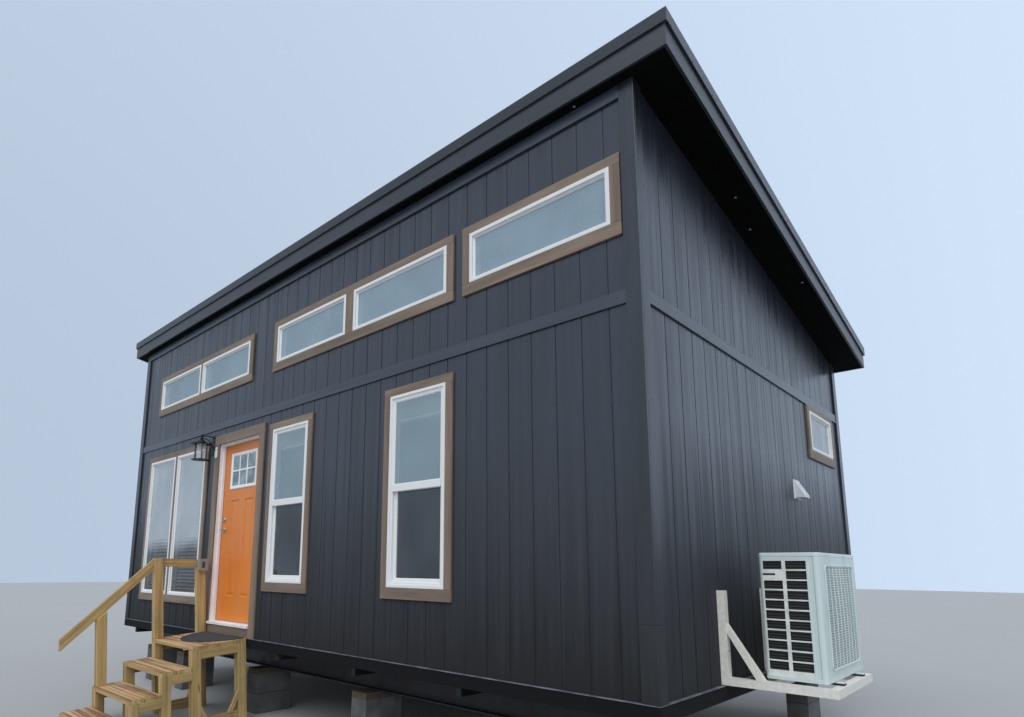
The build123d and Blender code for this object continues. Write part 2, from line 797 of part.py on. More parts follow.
with BuildPart() as hinge_door_leaves:
    for z in hinge_zs:
        half = third / 2 - knuckle_gap
        with Locations((pin_x, pin_y, z)):
            Cylinder(knuckle_radius, 2 * half)
        block((slab_right, slab_right + leaf_thickness), (slab_y0 + leaf_start, pin_y),
              (z - half, z + half))
        with Locations((pin_x, pin_y, z)):
            Cylinder(knuckle_bore, hinge_height, mode=Mode.SUBTRACT)
hinge_door_leaves.part.label = "hinge_door_leaves"
export_step(hinge_door_leaves.part, "parts/hinge_door_leaves.step")

# Lantern beside the door: back plate, arm, base, four bars, hood and stem
lantern_from_casing = 65
lantern_stand = 160
lantern_x = door_outer_x[0] - lantern_from_casing
lantern_y = south - lantern_stand
lantern_low = 2768
lantern_base_radius = 72
lantern_base_height = 12
lantern_glass_radius = 52
lantern_glass_height = 150
lantern_glass_wall = 3
lantern_bar_radius = 4
lantern_bar_place = 46
hood_radius = 100
hood_top_radius = 40
hood_height = 60
stem_radius = 14
stem_height = 56
stem_sunk = 8
back_plate_half = 56
back_plate_z = (2884, 3088)
back_plate_thickness = 16
arm_half = 10
arm_z = (3030, 3048)
glass_low = lantern_low + lantern_base_height
glass_middle = (lantern_x, lantern_y, glass_low + lantern_glass_height / 2)
hood_low = glass_low + lantern_glass_height
with BuildPart() as lantern:
    plate_y = (south - back_plate_thickness, south)
    block((lantern_x - back_plate_half, lantern_x + back_plate_half), plate_y, back_plate_z)
    block((lantern_x - arm_half, lantern_x + arm_half), (lantern_y, plate_y[0]), arm_z)
    with Locations((lantern_x, lantern_y, lantern_low + lantern_base_height / 2)):
        Cylinder(lantern_base_radius, lantern_base_height)
    with Locations(glass_middle):
        with GridLocations(2 * lantern_bar_place, 2 * lantern_bar_place, 2, 2):
            Cylinder(lantern_bar_radius, lantern_glass_height)
    with Locations((lantern_x, lantern_y, hood_low + hood_height / 2)):
        Cone(hood_radius, hood_top_radius, hood_height)
    with Locations((lantern_x, lantern_y, hood_low + hood_height + stem_height / 2 - stem_sunk)):
        Cylinder(stem_radius, stem_height)
lantern.part.label = "lantern"
export_step(lantern.part, "parts/lantern.step")

with BuildPart() as lantern_glass:
    with Locations(glass_middle):
        Cylinder(lantern_glass_radius, lantern_glass_height)
        Cylinder(lantern_glass_radius - lantern_glass_wall, lantern_glass_height, mode=Mode.SUBTRACT)
lantern_glass.part.label = "lantern_glass"
export_step(lantern_glass.part, "parts/lantern_glass.step")

device_from_edge = 20
device_width = 60
device_thickness = 12
device_z = (2805, 2935)
with BuildPart() as wall_plate:
    start = door_outer_x[0] + device_from_edge
    block((start, start + device_width), (casing_y[0] - device_thickness, casing_y[0]), device_z)
wall_plate.part.label = "wall_plate"
export_step(wall_plate.part, "parts/wall_plate.step")

# Hooded vent on the right wall: a flange, and a wedge open underneath
vent_from_rear = 1637
vent_width = 155
vent_low = 2178
vent_high = 2332
vent_reach = 85
vent_nose = 22
vent_shell = 3
vent_flange = 8
vent_border = 10
vent_y = (north - vent_from_rear - vent_width, north - vent_from_rear)


def wedge(y, z, reach, nose):
    """Pushes a wedge along Y: full height at the wall, a low nose outside."""
    with BuildSketch(Plane.XZ.offset(-y[1])) as profile:
        Polygon((east + vent_flange, z[0]), (east + vent_flange, z[1]),
                (east + reach, nose), (east + reach, z[0]), align=None)
    return extrude(profile.sketch, amount=y[1] - y[0], mode=Mode.PRIVATE)


with BuildPart() as vent_hood:
    block((east, east + vent_flange), (vent_y[0] - vent_border, vent_y[1] + vent_border),
          (vent_low - vent_border, vent_high + vent_border))
    add(wedge(vent_y, (vent_low, vent_high), vent_reach, vent_low + vent_nose))
    add(wedge((vent_y[0] + vent_shell, vent_y[1] - vent_shell),
              (vent_low - vent_shell, vent_high - 2 * vent_shell), vent_reach - vent_shell,
              vent_low + vent_nose - vent_shell), mode=Mode.SUBTRACT)
vent_hood.part.label = "vent_hood"
export_step(vent_hood.part, "parts/vent_hood.step")

# Condenser on its wall bracket of square tube: two wall tubes and arms
# with braces, and two tubes across
tube = 50
arm_top = 858
near_arm_from_front = 883
arm_spacing = 817
arm_ys = (south + near_arm_from_front, south + near_arm_from_front + arm_spacing)
bracket_top = 1403
brace_wall_z = 1169
brace_arm_x = 241
brace_side = 5
brace_half = 25
brace_heel = 35
cross_tube_x = 251
with BuildPart() as condenser_bracket:
    for y in arm_ys:
        block((east, east + tube), (y, y + tube), (arm_top - tube, bracket_top))
        block((east, east + arm_reach), (y, y + tube), (arm_top - tube, arm_top))
        with BuildSketch(Plane.XZ.offset(-(y + tube - brace_side))):
            Polygon((east + tube, brace_wall_z + brace_half), (east + tube, brace_wall_z - brace_heel),
                    (east + brace_arm_x - brace_half, arm_top),
                    (east + brace_arm_x + brace_half, arm_top), align=None)
        extrude(amount=tube - 2 * brace_side)
    for x in (cross_tube_x, arm_reach - tube):
        block((east + x, east + x + tube), (arm_ys[0] + tube, arm_ys[1]), (arm_top - tube, arm_top))
condenser_bracket.part.label = "condenser_bracket"
export_step(condenser_bracket.part, "parts/condenser_bracket.step")

cabinet_gap = 258
cabinet_depth = 348
cabinet_from_arm = 45
cabinet_length = 912
cabinet_low = 875
cabinet_high = 1647
cabinet_wall = 3
cabinet_round = 26
coil_margin = 32
coil_gap = 26
coil_first_width = 102
coil_second_width = 110
coil_rows = 11
coil_closed_row = 9
coil_low = 918
coil_pitch = 61
coil_bar = 11
fan_margin = 42
service_width = 220
cabinet_x = (east + cabinet_gap, east + cabinet_gap + cabinet_depth)
cabinet_y = (arm_ys[0] + cabinet_from_arm, arm_ys[0] + cabinet_from_arm + cabinet_length)
first_start = cabinet_x[0] + coil_margin
second_start = first_start + coil_first_width + coil_gap
coil_columns = ((first_start, first_start + coil_first_width),
                (second_start, second_start + coil_second_width))
fan_y = (cabinet_y[0] + fan_margin, cabinet_y[1] - service_width)
fan_z = (cabinet_low + fan_margin, cabinet_high - fan_margin)


def cabinet_shell(inset, mode):
    """Upright box with rounded corners, drawn in on every side by an inset."""
    middle = ((cabinet_x[0] + cabinet_x[1]) / 2, (cabinet_y[0] + cabinet_y[1]) / 2)
    with BuildSketch(Plane.XY.offset(cabinet_low + inset)) as outline:
        with Locations(middle):
            RectangleRounded(cabinet_depth - 2 * inset, cabinet_length - 2 * inset, cabinet_round - inset)
    extrude(outline.sketch, amount=cabinet_high - cabinet_low - 2 * inset, mode=mode)


with BuildPart() as condenser_cabinet:
    cabinet_shell(0, Mode.ADD)
    cabinet_shell(cabinet_wall, Mode.SUBTRACT)
    for column, sides in enumerate(coil_columns):
        for row in range(coil_rows):
            if column == 0 and row == coil_closed_row:
                continue
            low = coil_low + coil_pitch * row
            block(sides, (cabinet_y[0] - 1, cabinet_y[0] + cabinet_wall + 1),
                  (low, low + coil_pitch - coil_bar), Mode.SUBTRACT)
    block((cabinet_x[1] - cabinet_wall - 1, cabinet_x[1] + 1), fan_y, fan_z, Mode.SUBTRACT)
condenser_cabinet.part.label = "condenser_cabinet"
export_step(condenser_cabinet.part, "parts/condenser_cabinet.step")

# Fan guard: a plate of upright bars with a few bars across
guard_bar = 6
guard_bays = 16
guard_rows = 4
with BuildPart() as condenser_fan_guard:
    block((cabinet_x[1] - cabinet_wall, cabinet_x[1]), fan_y, fan_z)
    bay = (fan_y[1] - fan_y[0] - guard_bar) / guard_bays
    row = (fan_z[1] - fan_z[0] - guard_bar) / guard_rows
    for across in range(guard_bays):
        for up in range(guard_rows):
            start = fan_y[0] + guard_bar + bay * across
            low = fan_z[0] + guard_bar + row * up
            block((cabinet_x[1] - cabinet_wall - 1, cabinet_x[1] + 1), (start, start + bay - guard_bar),
                  (low, low + row - guard_bar), Mode.SUBTRACT)
condenser_fan_guard.part.label = "condenser_fan_guard"
export_step(condenser_fan_guard.part, "parts/condenser_fan_guard.step")

coil_from_face = 16
coil_thickness = 20
coil_top_gap = 40
with BuildPart() as condenser_coil:
    block((cabinet_x[0] + coil_thickness, cabinet_x[1] - coil_thickness),
          (cabinet_y[0] + coil_from_face, cabinet_y[0] + coil_from_face + coil_thickness),
          (cabinet_low + cabinet_wall, cabinet_high - coil_top_gap))
condenser_coil.part.label = "condenser_coil"
export_step(condenser_coil.part, "parts/condenser_coil.step")

foot_inset = 152
foot_spacing = 490
foot_width = 50
foot_past_rear = 18
foot_past_front = 44
with BuildPart() as condenser_feet:
    for start in (cabinet_y[0] + foot_inset, cabinet_y[0] + foot_inset + foot_spacing):
        block((cabinet_x[0] - foot_past_rear, cabinet_x[1] + foot_past_front),
              (start, start + foot_width), (arm_top, cabinet_low))
condenser_feet.part.label = "condenser_feet"
export_step(condenser_feet.part, "parts/condenser_feet.step")

# Stair: built in a frame that leans forward about the wall line. u runs
# along Y (negative to the front) and w is up.
stair_frame = Location((0, south, stair_back_level), (stair_lean, 0, 0))
left = east + door_centre - stair_left_of_door
right = east + door_centre + stair_right_of_door


def stair_block(x, u, w, mode=Mode.ADD):
    """Adds a box given by limits in the leaning frame."""
    centre = Location(((x[0] + x[1]) / 2, (u[0] + u[1]) / 2, (w[0] + w[1]) / 2))
    with Locations(stair_frame * centre):
        Box(x[1] - x[0], u[1] - u[0], w[1] - w[0], mode=mode)


def stair_prism(x, outline, mode=Mode.ADD):
    """Pushes an outline in the leaning frame's side plane along X."""
    side_plane = Plane(stair_frame * Location((x[0], 0, 0)))
    side_plane = Plane(origin=side_plane.origin, x_dir=side_plane.y_dir, z_dir=(1, 0, 0))
    with BuildSketch(side_plane) as profile:
        Polygon(*outline, align=None)
    extrude(profile.sketch, amount=x[1] - x[0], mode=mode)


back_gap = 30
plank_gap = 2
tread_gap = 6
landing_count = 4
tread_fronts = [-landing_depth - tread_spacing * (index + 1) for index in range(step_count)]
tread_tops = [-tread_rise * (index + 1) for index in range(step_count)]
with BuildPart() as stair_planks:
    for index in range(landing_count):
        front = -landing_depth + index * (plank_width + plank_gap)
        stair_block((left, right), (front, front + plank_width), (-plank_thickness, 0))
    for front, top in zip(tread_fronts, tread_tops):
        for index in range(2):
            start = front + index * (plank_width + tread_gap)
            stair_block((left, right), (start, start + plank_width), (top - plank_thickness, top))
stair_planks.part.label = "stair_planks"
export_step(stair_planks.part, "parts/stair_planks.step")

leg_bottom = -1000
apron_height = 89
ground_cut = 3000


def to_ground():
    """Cuts everything below the ground off flat."""
    block((left - ground_cut, right + ground_cut), (south - ground_cut, south + ground_cut),
          (-ground_cut, 0), Mode.SUBTRACT)


with BuildPart() as stair_legs:
    for x in ((left, left + post_side), (right - post_side, right)):
        under = -plank_thickness
        stair_block(x, (-landing_depth, -landing_depth + post_side), (leg_bottom, under))
        stair_block(x, (-back_gap - post_side, -back_gap), (leg_bottom, under))
        for front, top in zip(tread_fronts, tread_tops):
            stair_block(x, (front, front + post_side), (leg_bottom, top - plank_thickness))
    to_ground()
stair_legs.part.label = "stair_legs"
export_step(stair_legs.part, "parts/stair_legs.step")


def plank_under(y):
    """Height of the landing planks' underside at a given y."""
    lean = radians(stair_lean)
    return stair_back_level + (y - south) * tan(lean) - plank_thickness / cos(lean)


# Aprons under the planks, and a ledger on the house for the landing
with BuildPart() as stair_aprons:
    for x in ((left, left + plank_thickness), (right - plank_thickness, right)):
        stair_block(x, (-landing_depth + post_side, -back_gap - post_side),
                    (-plank_thickness - apron_height, -plank_thickness))
        behind = -landing_depth
        for front, top in zip(tread_fronts, tread_tops):
            stair_block(x, (front + post_side, behind),
                        (top - plank_thickness - apron_height, top - plank_thickness))
            behind = front
    ledger_y = (south - trim_thickness - plank_thickness, south - trim_thickness)
    prism([(ledger_y[0], plank_under(ledger_y[0]) - apron_height),
           (ledger_y[1], plank_under(ledger_y[1]) - apron_height),
           (ledger_y[1], plank_under(ledger_y[1])), (ledger_y[0], plank_under(ledger_y[0]))],
          (left + post_side, right - post_side))
    to_ground()
stair_aprons.part.label = "stair_aprons"
export_step(stair_aprons.part, "parts/stair_aprons.step")

# A stretcher low down between the landing's legs on each side, with a
# short brace up to either leg
stretcher_top = -687
front_brace_run = 60
front_brace_rise = 125
back_brace_run = 104
back_brace_rise = 190
brace_width = 42
with BuildPart() as stair_braces:
    front_u = -landing_depth + post_side
    back_u = -back_gap - post_side
    for x in ((left, left + plank_thickness), (right - plank_thickness, right)):
        stair_block(x, (front_u, back_u), (leg_bottom, stretcher_top))
        for u, run, rise in ((front_u, front_brace_run, front_brace_rise),
                             (back_u, -back_brace_run, back_brace_rise)):
            inner = run - brace_width if run > 0 else run + brace_width
            stair_prism(x, [(u, stretcher_top + rise), (u + run, stretcher_top),
                            (u + inner, stretcher_top), (u, stretcher_top + rise * abs(inner / run))])
    to_ground()
stair_braces.part.label = "stair_braces"
export_step(stair_braces.part, "parts/stair_braces.step")

# Posts stand on the planks at the left side, with a level rail between
# the two on the landing and a sloping one down past the third post
post_a_u = (-landing_depth, -landing_depth + post_side)
post_c_u = (-back_gap - post_side, -back_gap)
post_c_top = 815
rail_thickness = 38
rail_depth = 115
level_rail_depth = 89
post_b_inset = 18
post_b_u = (tread_fronts[1] + post_b_inset, tread_fronts[1] + post_b_inset + post_side)
post_x = (left, left + post_side)


def rail_under(u):
    """Height of the sloping rail's lower edge at a given u."""
    return post_a_top - rail_drop * (post_a_u[0] - u) - rail_depth


with BuildPart() as handrail_posts:
    stair_block(post_x, post_a_u, (0, post_a_top))
    stair_block(post_x, post_c_u, (0, post_c_top))
    stair_prism(post_x, [(post_b_u[0], tread_tops[1]), (post_b_u[1], tread_tops[1]),
                         (post_b_u[1], rail_under(post_b_u[1])), (post_b_u[0], rail_under(post_b_u[0]))])
handrail_posts.part.label = "handrail_posts"
export_step(handrail_posts.part, "parts/handrail_posts.step")

rail_x = (left + (post_side - rail_thickness) / 2, left + (post_side + rail_thickness) / 2)
with BuildPart() as handrails:
    stair_prism(rail_x, [(post_a_u[1], post_a_top - level_rail_depth),
                         (post_c_u[0], post_c_top - level_rail_depth),
                         (post_c_u[0], post_c_top), (post_a_u[1], post_a_top)])
    stair_prism(rail_x, [(post_a_u[0], post_a_top - rail_depth), (post_a_u[0], post_a_top),
                         (rail_end_u, rail_under(rail_end_u) + rail_depth),
                         (rail_end_u, rail_under(rail_end_u))])
handrails.part.label = "handrails"
export_step(handrails.part, "parts/handrails.step")

# Half-round mat on the landing, its straight edge at the sill
mat_thickness = 9
mat_half_width = 440
mat_depth = 430
mat_back_gap = 40
with BuildPart() as door_mat:
    with BuildSketch(Plane(stair_frame * Location((east + door_centre, -mat_back_gap, 0)))):
        Ellipse(mat_half_width, mat_depth)
        with Locations((0, mat_depth)):
            Rectangle(4 * mat_half_width, 2 * mat_depth, mode=Mode.SUBTRACT)
    extrude(amount=mat_thickness)
door_mat.part.label = "door_mat"
export_step(door_mat.part, "parts/door_mat.step")

box_reach = 48
box_border = 5
box_height = 125
with BuildPart() as outlet_box:
    stair_block((post_x[1], post_x[1] + box_reach), (post_c_u[0] - box_border, post_c_u[1] + box_border),
                (post_c_top - box_height, post_c_top))
outlet_box.part.label = "outlet_box"
export_step(outlet_box.part, "parts/outlet_box.step")
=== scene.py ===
import bmesh
import bpy
import numpy as np
from mathutils import Matrix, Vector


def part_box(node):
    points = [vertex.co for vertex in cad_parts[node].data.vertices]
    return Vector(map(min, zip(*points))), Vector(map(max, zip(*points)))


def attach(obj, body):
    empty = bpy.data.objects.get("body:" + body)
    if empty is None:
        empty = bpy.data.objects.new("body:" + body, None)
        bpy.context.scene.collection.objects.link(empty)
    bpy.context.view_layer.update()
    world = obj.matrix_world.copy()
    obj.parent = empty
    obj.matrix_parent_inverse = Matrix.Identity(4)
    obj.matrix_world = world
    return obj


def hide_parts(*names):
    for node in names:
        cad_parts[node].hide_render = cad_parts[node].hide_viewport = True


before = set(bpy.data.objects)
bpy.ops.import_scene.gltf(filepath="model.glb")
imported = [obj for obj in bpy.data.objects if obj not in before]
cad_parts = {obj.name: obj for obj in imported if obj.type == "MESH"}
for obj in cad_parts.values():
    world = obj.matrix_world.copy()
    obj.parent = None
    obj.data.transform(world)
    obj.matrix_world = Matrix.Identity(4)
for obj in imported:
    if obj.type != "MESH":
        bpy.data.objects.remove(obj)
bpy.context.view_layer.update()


# Camera: the view is from the ground near the right front corner, at
# standing height, with a wide lens tipped up a little at the eave.
def stand(name, data, right, up, back, place=(0, 0, 0)):
    """Puts a camera or a lamp in the scene, turned by its three unit axes."""
    made = bpy.data.objects.new(name, data)
    made.matrix_world = Matrix([(right[k], up[k], back[k], place[k]) for k in range(3)] + [(0, 0, 0, 1)])
    bpy.context.scene.collection.objects.link(made)
    return made


lens = bpy.data.cameras.new("camera")
lens.sensor_width, lens.lens, lens.shift_x, lens.shift_y, lens.clip_end = 36, 22.065, 0.0565, 0.1030, 500
bpy.context.scene.camera = stand("camera", lens, (0.7208, 0.6931, 0.0076), (0.1080, -0.1232, 0.9865),
                                 (0.6846, -0.7103, -0.1637), (5.4657, -4.9908, 1.5350))
bpy.context.scene.view_settings.view_transform = "Standard"


# Studio: a pale floor under a pale sky that is brighter to the right, and
# one wide soft lamp high in front, as on a bright overcast day.
def shade(text):
    """Turns an sRGB hex colour into linear numbers: below 0.04045 a straight
    line, above it the 2.4 power curve."""
    v = np.array([int(text[k:k + 2], 16) for k in (1, 3, 5)]) / 255
    return (*np.where(v <= 0.04045, v / 12.92, ((v + 0.055) / 1.055) ** 2.4), 1.0)


def add(tree, kind, inputs=(), **settings):
    """Adds one node with its settings, and fills its inputs, given by name or
    number: a hex colour or a number is set, and another node or one of its
    sockets is linked, a node by its first live output."""
    made = tree.nodes.new("ShaderNode" + kind)
    for name, value in settings.items():
        setattr(made, name, value)
    for name, value in dict(inputs).items():
        if isinstance(value, bpy.types.Node):
            value = next(one for one in value.outputs if one.enabled)
        if isinstance(value, bpy.types.NodeSocket):
            tree.links.new(value, made.inputs[name])
        else:
            made.inputs[name].default_value = shade(value) if isinstance(value, str) else value
    return made


def start(name):
    """Starts a material that is named for its finish, with no nodes but the
    object coordinates, in metres. Returns the material, its tree and them."""
    made = bpy.data.materials.new(name)
    made.use_nodes = True
    made.node_tree.nodes.clear()
    return made, made.node_tree, add(made.node_tree, "TexCoord").outputs["Object"]


half = 60.0
floor_mesh = bpy.data.meshes.new("studio_floor")
floor_mesh.from_pydata([(-half, -half, 0), (half, -half, 0), (half, half, 0), (-half, half, 0)],
                       [], [(0, 1, 2, 3)])
studio_floor = bpy.data.objects.new("studio_floor", floor_mesh)
bpy.context.scene.collection.objects.link(studio_floor)
# Paper backdrop, matt, with a cloudiness 2.5 m wide that hardly shows.
floor_paint, tree, where = start("studio_paper")
tone = add(tree, "Mix", {0: add(tree, "TexNoise", {"Vector": where, "Scale": 0.4}),
                         6: "#a9acaf", 7: "#aeb1b4"}, data_type="RGBA")
add(tree, "OutputMaterial", {0: add(tree, "BsdfPrincipled", {"Base Color": tone, "Roughness": 0.9})})
floor_mesh.materials.append(floor_paint)

bpy.context.scene.world = bpy.data.worlds.new("sky")
bpy.context.scene.world.use_nodes = True
tree = bpy.context.scene.world.node_tree
tree.nodes.clear()
ray = add(tree, "LightPath").outputs
seen = add(tree, "Math", enumerate((ray["Is Camera Ray"], ray["Is Glossy Ray"])), operation="MAXIMUM")
seen = add(tree, "Math", enumerate((seen, ray["Is Transmission Ray"])), operation="MAXIMUM")
tone = add(tree, "Mix", {0: seen, 6: "#e2e8ee", 7: "#c4d5ea"}, data_type="RGBA")
heading = add(tree, "SeparateXYZ", {0: add(tree, "TexCoord").outputs["Generated"]})
brightness = add(tree, "MapRange", enumerate((heading.outputs[0], -1.0, 1.0, 0.86, 1.45)))
level = add(tree, "MapRange", {0: seen, 3: 0.68, 4: brightness})
add(tree, "OutputWorld", {0: add(tree, "Background", {"Color": tone, "Strength": level})})

lamp = bpy.data.lights.new("soft_lamp", "SUN")
lamp.energy, lamp.angle = 1.7, 1.0
towards = np.array((0.30, -0.55, 0.78))
towards = towards / np.linalg.norm(towards)
side = np.cross((0, 0, 1), towards)
side = side / np.linalg.norm(side)
stand("soft_lamp", lamp, side, np.cross(towards, side), towards)


# Walls: grooved siding panels of engineered wood, nailed over the framing
# and painted charcoal. The grooves are 203 mm apart and cut into the board.
def put(name, shapes, material, stands_for=(), body="house", smooth=False, kinds=None):
    """Makes one piece from shapes of points and faces, turns its faces
    outwards and lets it ride on a body. kinds picks one of several materials
    for each face. A board's third array is its grain: each face corner's
    place in the wood, in metres along and across, kept where the material
    reads it, and shifted from board to board, so no two are cut alike."""
    materials = material if isinstance(material, list) else [material]
    first = np.cumsum([0] + [len(shape[0]) for shape in shapes])
    mesh = bpy.data.meshes.new(name)
    mesh.from_pydata(np.concatenate([shape[0] for shape in shapes]).tolist(), [],
                     [list(np.asarray(face) + n) for shape, n in zip(shapes, first) for face in shape[1]])
    if any(node.type == "UVMAP" for node in materials[0].node_tree.nodes):
        grain = np.concatenate([shape[2] + (k * 7.3, k * 1.37) for k, shape in enumerate(shapes)])
        mesh.uv_layers.new(name="grain").data.foreach_set("uv", grain.ravel())
    for one in materials:
        mesh.materials.append(one)
    if kinds is not None:
        mesh.polygons.foreach_set("material_index", kinds.astype(np.int32))
    shape = bmesh.new()
    shape.from_mesh(mesh)
    bmesh.ops.recalc_face_normals(shape, faces=shape.faces)
    shape.to_mesh(mesh)
    shape.free()
    mesh.polygons.foreach_set("use_smooth", np.full(len(mesh.polygons), smooth))
    mesh.update()
    made = bpy.data.objects.new(name, mesh)
    bpy.context.scene.collection.objects.link(made)
    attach(made, body)
    if stands_for:
        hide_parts(*stands_for)


def layered(tree, tone, layers):
    """Lays colours over a ground tone. Each layer is (pattern, from, to,
    colour): none of it shows where the pattern is at the first value and all
    of it at the second, or else the shares that two more numbers give."""
    for pattern, low, high, colour, *shares in layers:
        share = add(tree, "MapRange", enumerate((pattern, low, high, *shares)))
        tone = add(tree, "Mix", {0: share, 6: tone, 7: colour}, data_type="RGBA")
    return tone


def surface(tree, tone, rough, height, metres, strength=1.0, also=()):
    """Closes a material: its colour, its roughness and the relief that a
    pattern raises by so many metres, with the shader's other values."""
    relief = add(tree, "Bump", {"Height": height, "Strength": strength, "Distance": metres})
    add(tree, "OutputMaterial", {0: add(tree, "BsdfPrincipled", {
        "Base Color": tone, "Roughness": rough, "Normal": relief, **dict(also)})})


def finish(name, patterns, tone, tones, rough, relief, also=(), grained=False):
    """Makes a material. Each pattern has a name, and is None for the height
    above ground, or else a noise: its scale per metre, as one number or one
    for each axis, its detail and its distortion, with another texture's kind
    in front. Grained ones follow the board's grain. tones are layers over the
    ground tone, or one other tone that the first pattern mixes in. Roughness
    is a number, or a sum of spans, each (pattern, from, to, roughness at the
    one, and at the other). Relief is (pattern, metres, strength), or just the
    metres that the first pattern raises. also holds the shader's other
    values."""
    first = next(iter(patterns))
    tones = [(first, 0, 1, tones)] if isinstance(tones, str) else tones
    relief = relief if isinstance(relief, tuple) else (first, relief)
    made, tree, where = start(name)
    along = add(tree, "UVMap", uv_map="grain") if grained else where
    found = {}
    for word, one in patterns.items():
        if one is None:
            found[word] = add(tree, "SeparateXYZ", {0: where}).outputs[2]
            continue
        kind, scale, *rest = one if isinstance(one[0], str) else ("TexNoise", *one)
        place = along
        if np.ndim(scale):
            place, scale = add(tree, "Mapping", {"Vector": along, "Scale": scale}), 1.0
        found[word] = add(tree, kind, {"Vector": place, "Scale": scale,
                                       **dict(zip(("Detail", "Distortion"), rest))})
    if isinstance(rough, list):
        spans = [add(tree, "MapRange", enumerate((found[word], *span))) for word, *span in rough]
        rough = spans[0] if len(spans) == 1 else add(tree, "Math", enumerate(spans))
    surface(tree, layered(tree, tone, [(found[word], *layer) for word, *layer in tones]), rough,
            found[relief[0]], *relief[1:], also=also)
    return made


def cut_sheet(front, back, keep):
    """Closed body between two grids of points. A cell is filled where keep is
    true, and a rim closes it wherever a filled cell meets an empty one.
    Returns the shape, and 0, 1 or 2 for each front, back or rim face."""
    number = np.arange(front.shape[0] * front.shape[1]).reshape(-1, front.shape[1])
    i, j = np.nonzero(keep)
    quads = np.stack([number[i, j], number[i + 1, j], number[i + 1, j + 1], number[i, j + 1]], 1)
    ringed = np.pad(keep, 1)
    rims = []
    for di, dj, a, b in ((-1, 0, 0, 3), (1, 0, 1, 2), (0, -1, 0, 1), (0, 1, 3, 2)):
        edge = quads[~ringed[i + 1 + di, j + 1 + dj]]
        rims.append(np.stack([edge[:, a], edge[:, b], edge[:, b] + number.size, edge[:, a] + number.size], 1))
    rims = np.concatenate(rims)
    kinds = np.repeat((0, 1, 2), (len(quads), len(quads), len(rims)))
    points = np.concatenate([front.reshape(-1, 3), back.reshape(-1, 3)])
    used, faces = np.unique(np.concatenate([quads, quads + number.size, rims]), return_inverse=True)
    return (points[used], faces.reshape(-1, 4)), kinds


def grid_lines(*places):
    """The lines of a grid: all the places in order, each once, to 0.01 mm."""
    return np.unique(np.round(np.concatenate(places), 5))


def open_cells(u, v, holes):
    """Which cells of a grid of lines are filled: those whose middle lies in
    none of the holes, each (left, right, low, high)."""
    u, v = (u[1:] + u[:-1])[:, None] / 2, (v[1:] + v[:-1])[None, :] / 2
    keep = np.ones((u.size, v.size), bool)
    for a, b, low, high in holes:
        keep &= ~((u > a) & (u < b) & (v > low) & (v < high))
    return keep


east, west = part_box("right_wall")[1].x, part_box("left_wall")[0].x
south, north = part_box("front_wall_left")[0].y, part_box("rear_wall")[1].y
band_low, wall_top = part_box("front_wall_left")[0].z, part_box("front_wall_left")[1].z
floor_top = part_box("floor_deck")[1].z
length, width = east - west, north - south
wall_thick, skin_thick, roof_fall = 0.115, 0.011, 0.18
groove_step, groove_half, groove_flat = 0.2032, 0.0052, 0.0036


def roof_under(y):
    """Height of the roof slab's underside: a straight fall from the front."""
    return wall_top - roof_fall * (y - south)


def on_wall(corner, along, inward):
    """Places on one wall: its corner, moved by u along it, by the depth into
    it and up to z."""
    return lambda u, depth, z: np.stack(
        [corner[k] + along[k] * u + inward[k] * depth for k in (0, 1)] + [z], -1)


def panel_wall(name, length, holes, first, deep, place, top, nodes, ends):
    """Wall of grooved panel: on a grid of places along the wall and heights,
    the depth dips at each groove, and a cell inside a hole is left out.
    first is where the first groove lies, deep is its depth, and ends is how
    far the panels stop short of the corners. place turns along, depth and
    height into a point, and top gives the wall's height there."""
    centres = np.arange(first, length - 0.02, groove_step)
    at = (centres[:, None] + (-groove_half, -groove_flat, groove_flat, groove_half)).ravel()
    along = np.concatenate([at, [ends, length - ends], *[hole[:2] for hole in holes]])
    along = np.unique(np.round(along, 4))
    along = along[(along >= ends) & (along <= length - ends)]
    depth = np.interp(along, at, np.tile((0, deep, deep, 0), len(centres)))
    heights = grid_lines([band_low, floor_top - 0.0001, floor_top], *[hole[2:] for hole in holes])
    level = np.append(heights, 99.0)
    z = np.minimum(level[None, :], top(along)[:, None])
    inner = np.where(level < floor_top, skin_thick, wall_thick)
    front = place(along[:, None] + 0 * z, depth[:, None] + 0 * z, z)
    back = place(along[:, None] + 0 * z, inner[None, :] + 0 * z, z)
    shape, kinds = cut_sheet(front, back, open_cells(along, np.minimum(level, 2 * wall_top), holes))
    put(name, [shape], [siding_paint, room_paint], nodes, kinds=(kinds == 1).astype(int))


# Exterior latex, satin, sprayed over cedar-embossed panel: nearly black, and
# pale only where it mirrors the sky at a low angle. Fibres 10 mm wide and
# 0.4 m long show through it, rain has left glossier streaks 50 mm wide, and
# the foot of the wall is more matt with splashed dirt. From 2.5 m down to
# 0.8 m the colour is painted darker towards the foot: that is painted shade.
siding_paint = finish(
    "charcoal_latex_on_panel",
    {"fibre": ((95, 95, 2.6), 6, 0.4), "streak": ((20, 20, 0.6), 5), "patch": (0.65, 3), "height": None},
    "#242932",
    [("streak", 0.38, 0.66, "#2e343f"), ("patch", 0.35, 0.70, "#2a2b34", 0, 0.45),
     ("height", 0.8, 2.5, "#0b0c0f", 1, 0)],
    [("streak", 0.35, 0.65, 0.39, 0.21), ("height", 0.8, 2.5, 0.75, 0)], ("fibre", 0.0013, 0.6),
    {"Specular IOR Level": 0.75})
# Flat emulsion on the room side, rolled on: chalky, with a stipple 6 mm wide.
room_paint = finish("flat_emulsion_in_room", {"stipple": (180, 4)}, "#c4c2bc", "#cecdc7", 0.8, 0.0003)

front_face, rear_face = on_wall((west, south), (1, 0), (0, 1)), on_wall((west, north), (1, 0), (0, -1))
right_face, left_face = on_wall((east, south), (0, 1), (-1, 0)), on_wall((west, south), (0, 1), (1, 0))
